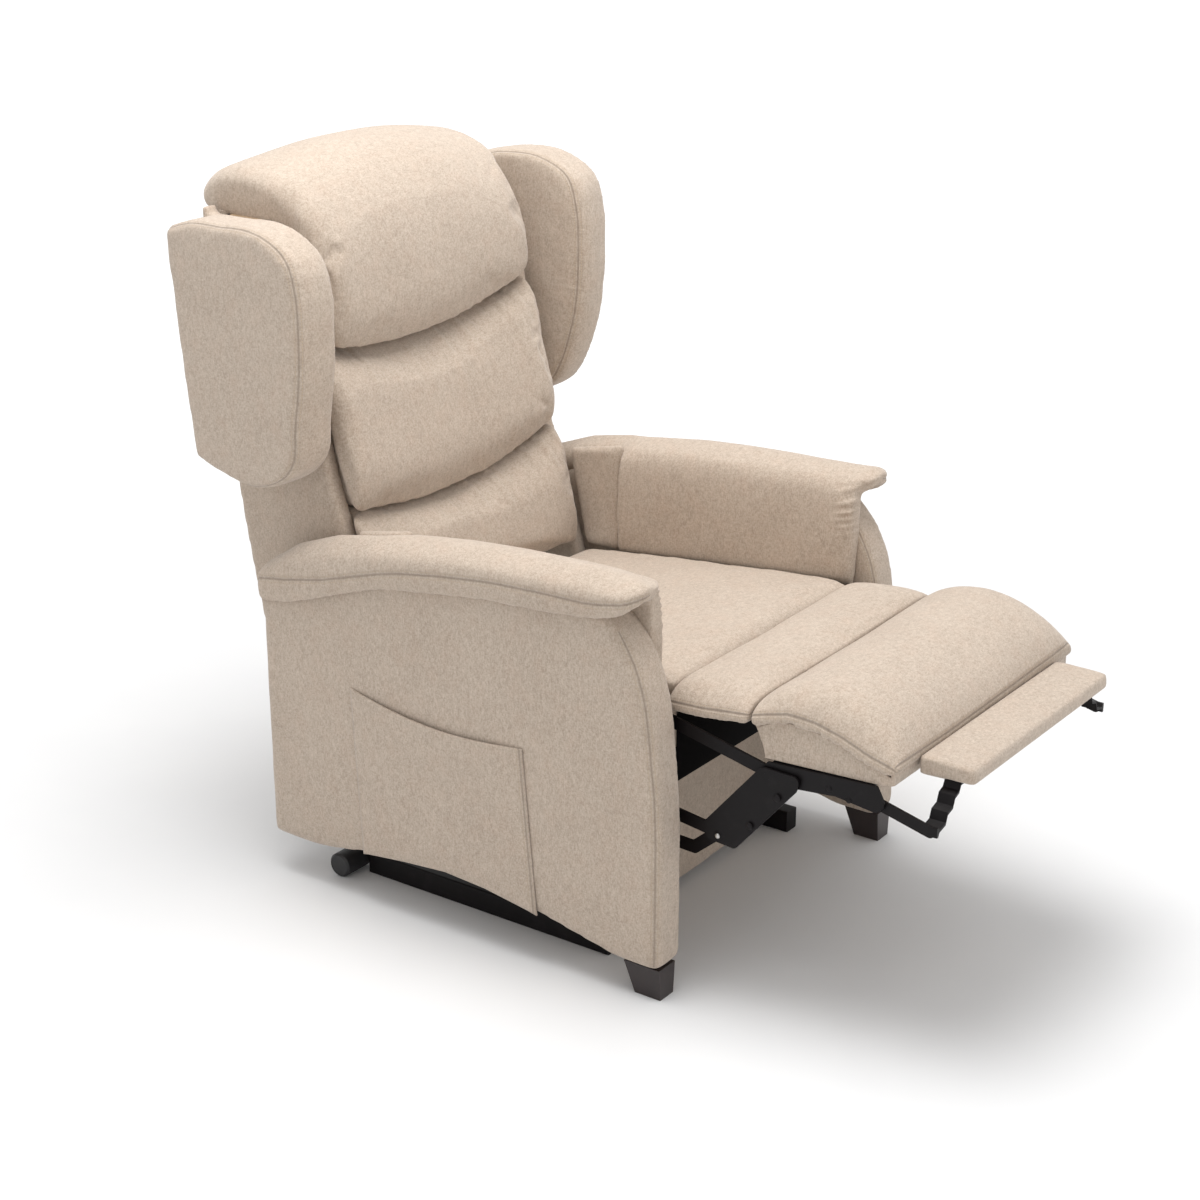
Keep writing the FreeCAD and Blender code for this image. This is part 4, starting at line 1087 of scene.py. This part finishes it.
class RECLINER_OT_back_shell(bpy.types.Operator):
    """Covered side frames and rear cover of the back"""

    bl_idname = "recliner.back_shell"
    bl_label = "Back Shell"

    def execute(self, context):
        for side, sign in SIDES.items():
            low, high = sign * (SIDE_FRAME_INNER + 0.3), sign * (SIDE_FRAME_OUTER - 0.2)
            cover = covered("back_side_cover_" + side, board(BACK_OUTLINE, low, high, 7.0))
            finer(cover)
            finish_piece(cover, "backrest", "woven_fabric_side", "back_side_frame_" + side)
        outer = flowing([(883, 1032), (895, 1012), (852, 621), (810, 393)], 8)
        inner = flowing([(794, 397), (836, 622), (879, 1008), (869, 1032)], 8)
        rear = covered("back_rear_cover", board(outer + inner, -249.0, 249.0, 2.0))
        finish_piece(rear, "backrest", "woven_fabric_side", "back_cover")
        return {"FINISHED"}


WING_OUTLINE = (
    flowing([(898, 1029), (818, 1051), (733, 1060), (677, 1052), (632, 1024), (615, 972),
             (612, 913), (615, 842), (625, 785), (648, 724), (676, 678), (714, 656),
             (752, 651)], 4)
    + flowing([(752, 651), (808, 663), (858, 677)], 3)[1:]
    + [(880, 850)]
)


def wing_outline(sign):
    """The wing's outline; the one on the pocket side hangs a little fuller and lower."""
    fuller, raised = (20.0, -15.0) if sign < 0 else (4.0, 6.0)
    line = []
    for u, z in WING_OUTLINE:
        forward = fuller * math.exp(-((z - 705) / 48) ** 2) * max(0.0, min(1.0, (750 - u) / 60))
        upward = raised * max(0.0, min(1.0, (z - 900) / 120))
        line.append((u - forward, z + upward * max(0.3, min(1.0, (880 - u) / 110))))
    return line


class RECLINER_OT_wings(bpy.types.Operator):
    """Wings beside the head with a border strip round them"""

    bl_idname = "recliner.wings"
    bl_label = "Wings"

    def swell(self, wing, sign, outline, middle):
        """Crown the wing's faces and round its front edge forward."""
        points, normals = read(wing.data), read(wing.data, "normal")
        rim = beside(points[:, 1:], [spot(0, u, z)[1:] for u, z in outline + outline[:1]])[0]
        out = np.sign(points[:, 0] - middle + (points[:, 1] + 0.266 - 0.612) * 0.11 * sign)
        points[:, 0] += out * (1 - np.exp(-rim / 0.03)) * 0.003
        across = np.clip((sign * points[:, 0] - 0.300) / 0.080, 0, 1)
        forward = 0.003 + 0.007 * np.sin(across * math.pi) * (1.3 - across)
        facing = np.clip(-normals[:, 1], 0, 1)[:, None] * np.array([0, -1, 0])
        write(wing.data, points + normals * 0.0022 + facing * forward[:, None])

    def execute(self, context):
        for side, sign in SIDES.items():
            def outer(u, z):
                return sign * (381 - (u - 612) * 25.0 / 287)

            def inner(u, z):
                return sign * (304 - (u - 612) * 24.0 / 287)

            outline = wing_outline(sign)
            wing = covered("wing_cover_" + side, board(outline, inner, outer, 8.0), 3)
            self.swell(wing, sign, outline, 0.5 * (inner(612, 0) + outer(612, 0)) * MM)
            finer(wing)
            rim = [(u + 2.5 * (u < 700), z) for u, z in outline[:-1]]
            seams = [[spot(face(u, z) - sign * inwards, u, z) for u, z in rim]
                     for face, inwards in ((outer, 3), (inner, -3))]
            sew(wing, "wing", *seams, seed=7)
            uneven(wing, 0.0005, 0.08, 21)
            mark_seams(wing, *seams)
            finish_piece(wing, "backrest", "woven_fabric_side", "wing_" + side)
        return {"FINISHED"}


class RECLINER_OT_apron(bpy.types.Operator):
    """Covered apron with a bowed lower edge"""

    bl_idname = "recliner.apron"
    bl_label = "Apron"

    def place(self, s, t):
        x = -APRON_HALF + 2 * APRON_HALF * t
        share = abs(x) / APRON_HALF
        corner = min(1.0, max(0.0, (share - 0.78) / 0.06))
        low = 12.0 + 14.0 * share * share + 22.0 * corner
        loop = bulged([(179, low), (180, 224), (199, 224), (199, low)], [1, 1, 0, 1], 10)
        return spot(x, *on_loop(loop, s))

    def execute(self, context):
        apron = covered("front_apron_cover", wrapped(40, 90, self.place))
        finer(apron)
        finish_piece(apron, "chair", "woven_fabric_side", "front_apron")
        return {"FINISHED"}


class RECLINER_OT_pocket(bpy.types.Operator):
    """Flat pocket sewn on the sitter's right panel, open at the top"""

    bl_idname = "recliner.pocket"
    bl_label = "Side Pocket"

    def flap(self, s, t):
        low_u = 213 + (550 - 213) * s
        low_z = np.interp(low_u, *zip(*sorted(PANEL_FOOT))) + 1.5
        top_u = 237 + (565 - 237) * s
        top_z = 344 + 16 * s - 16 * math.sin(math.pi * s)
        edge = min(s, 1 - s, t * 0.8)
        lift = 3.4 + 3.2 * (1 - math.exp(-edge * 14)) + 2.2 * t ** 3 * math.sin(math.pi * s)
        return spot(-(PANEL_OUTER + lift), low_u + (top_u - low_u) * t, low_z + (top_z - low_z) * t)

    def execute(self, context):
        bm = net(84, 64, self.flap)
        bmesh.ops.recalc_face_normals(bm, faces=bm.faces)
        if sum(f.normal.x for f in bm.faces) > 0:
            bmesh.ops.reverse_faces(bm, faces=bm.faces)
        pocket = new_piece("side_pocket_cover", bm, FINISHES["cloth"])
        thick = pocket.modifiers.new("Thickness", "SOLIDIFY")
        thick.thickness = 0.0028
        thick.offset = -1.0
        fixed(pocket)
        pocket.data.shade_smooth()
        mark_seams(pocket, [self.flap(0.015, t) for t in np.linspace(0.02, 0.98, 40)])
        finish_piece(pocket, "chair", "woven_fabric_side", "side_pocket")
        return {"FINISHED"}


NODE_FINISHES = {
    "front_foot_": "wood",
    "front_lining": "lining",
    "seat_springs": "spring",
    "lift_rod": "rod",
    "recline_rod": "rod",
    "lift_motor": "motor",
    "recline_motor": "motor",
    "rear_roller_": "roller",
    "back_rails": "ply",
}


class RECLINER_OT_steelwork(bpy.types.Operator):
    """Finishes of the steel, wood and plastic parts of the frame"""

    bl_idname = "recliner.steelwork"
    bl_label = "Frame Finishes"

    def execute(self, context):
        for name, node in frame["nodes"].items():
            chosen = [NODE_FINISHES[start] for start in NODE_FINISHES if name.startswith(start)]
            node.data.materials.clear()
            node.data.materials.append(FINISHES[chosen[0] if chosen else "steel"])
        return {"FINISHED"}


# Rivet heads as (u, z, radius), and where they sit: plate, finish, x of the face, heads
PLATE_HEADS = [(-148.5, 343, 5.5), (-105, 288, 5.5)]
PIVOT_HEAD = [(-53, 258, 4.0)]
BRACKET_HEADS = [(-225, 375, 4.5), (-256, 366, 4.5)]
RIVETS = [
    ("cover_plate_right", "steel", -279.0, PLATE_HEADS),
    ("cover_plate_right", "bright", -279.0, PIVOT_HEAD),
    ("cover_plate_left", "steel", 279.0, PLATE_HEADS),
    ("cover_plate_left", "bright", 279.0, PIVOT_HEAD),
    ("footrest_bracket_right", "steel", -270.0, BRACKET_HEADS),
    ("footrest_bracket_left", "steel", 270.0, BRACKET_HEADS),
]
RIVET_SLOTS = {"steel": "black_steel", "bright": "rod_steel"}
RIVET_RISE = 2.0


class RECLINER_OT_rivets(bpy.types.Operator):
    """Domed rivet heads on the outer faces of the mechanism's plates"""

    bl_idname = "recliner.rivets"
    bl_label = "Rivet Heads"

    def execute(self, context):
        bodies = frame["record"]["behaviour"]["bodies"]
        for number, (plate, finish, face, heads) in enumerate(RIVETS):
            bm = bmesh.new()
            for u, z, radius in heads:
                dome = bmesh.ops.create_uvsphere(bm, u_segments=24, v_segments=12,
                                                 radius=radius * MM)["verts"]
                bmesh.ops.scale(bm, vec=(RIVET_RISE / radius, 1.0, 1.0), verts=dome)
                bmesh.ops.translate(bm, vec=spot(face, u, z), verts=dome)
            rivets = new_piece("%s_rivets_%d" % (plate, number), bm, FINISHES[finish])
            body = next(b for b, nodes in bodies.items() if plate in nodes)
            finish_piece(rivets, body, RIVET_SLOTS[finish])
        return {"FINISHED"}


# Soft lights: place, target, side in metres and power in watts
SOFTBOXES = {
    "overhead_softbox": ((-0.25, 0.15, 3.35), (0.0, -0.1, 0.4), 1.9, 88.0),
    "front_softbox": ((0.8, -3.4, 2.0), (0.0, 0.0, 0.5), 2.0, 12.0),
}
SKY = 0.77
CAMERA_PLACE = (-2.7986, -1.9192, 1.7243)
CAMERA_AIM = (0.7619, 0.5455, -0.3491)
CAMERA_LENS = 70.15


class RECLINER_OT_stage(bpy.types.Operator):
    """Pale floor, soft light and the camera"""

    bl_idname = "recliner.stage"
    bl_label = "Stage"

    def aimed(self, name, data, place, aim):
        """Put a light or the camera in the scene, facing along aim."""
        thing = bpy.data.objects.new(name, data)
        thing.location = place
        thing.rotation_mode = "QUATERNION"
        thing.rotation_quaternion = Vector(aim).to_track_quat("-Z", "Y")
        bpy.context.scene.collection.objects.link(thing)
        return thing

    def execute(self, context):
        bm = bmesh.new()
        bmesh.ops.create_grid(bm, x_segments=1, y_segments=1, size=40.0)
        new_piece("floor", bm, FINISHES["floor"])

        world = bpy.data.worlds.new("studio")
        context.scene.world = world
        world.use_nodes = True
        back = world.node_tree.nodes["Background"]
        back.inputs["Color"].default_value = (1.0, 1.0, 1.0, 1.0)
        back.inputs["Strength"].default_value = SKY
        context.scene.view_settings.view_transform = "Standard"

        for name, (place, target, size, power) in SOFTBOXES.items():
            light = bpy.data.lights.new(name, "AREA")
            light.shape = "SQUARE"
            light.size = size
            light.energy = power
            self.aimed(name, light, place, Vector(target) - Vector(place))

        lens = bpy.data.cameras.new("camera")
        lens.lens = CAMERA_LENS
        lens.sensor_width = 36.0
        lens.clip_start = 0.05
        context.scene.camera = self.aimed("camera", lens, CAMERA_PLACE, CAMERA_AIM)
        return {"FINISHED"}


class RECLINER_PT_panel(bpy.types.Panel):
    """Lists the pieces of the recliner"""

    bl_idname = "RECLINER_PT_panel"
    bl_label = "Lift Recliner"
    bl_space_type = "VIEW_3D"
    bl_region_type = "UI"
    bl_category = "Recliner"

    def draw(self, context):
        for group in (context.scene.recliner_sizes, context.scene.recliner_colours):
            for name in group.__annotations__:
                self.layout.prop(group, name)
        for operator in OPERATORS:
            self.layout.operator(operator.bl_idname)


OPERATORS = [
    RECLINER_OT_steelwork,
    RECLINER_OT_side_panels,
    RECLINER_OT_arm_pads,
    RECLINER_OT_seat,
    RECLINER_OT_footrest,
    RECLINER_OT_flipper,
    RECLINER_OT_back_cushions,
    RECLINER_OT_back_shell,
    RECLINER_OT_wings,
    RECLINER_OT_apron,
    RECLINER_OT_pocket,
    RECLINER_OT_rivets,
    RECLINER_OT_stage,
]
CLASSES = [Sizes, Colours, *OPERATORS, RECLINER_PT_panel]


def register():
    for cls in CLASSES:
        bpy.utils.register_class(cls)
    bpy.types.Scene.recliner_sizes = PointerProperty(type=Sizes)
    bpy.types.Scene.recliner_colours = PointerProperty(type=Colours)


def unregister():
    del bpy.types.Scene.recliner_colours
    del bpy.types.Scene.recliner_sizes
    for cls in reversed(CLASSES):
        bpy.utils.unregister_class(cls)


def main():
    register()
    make_finishes()
    for operator in OPERATORS:
        group, name = operator.bl_idname.split(".")
        getattr(getattr(bpy.ops, group), name)()


if __name__ == "__main__":
    main()
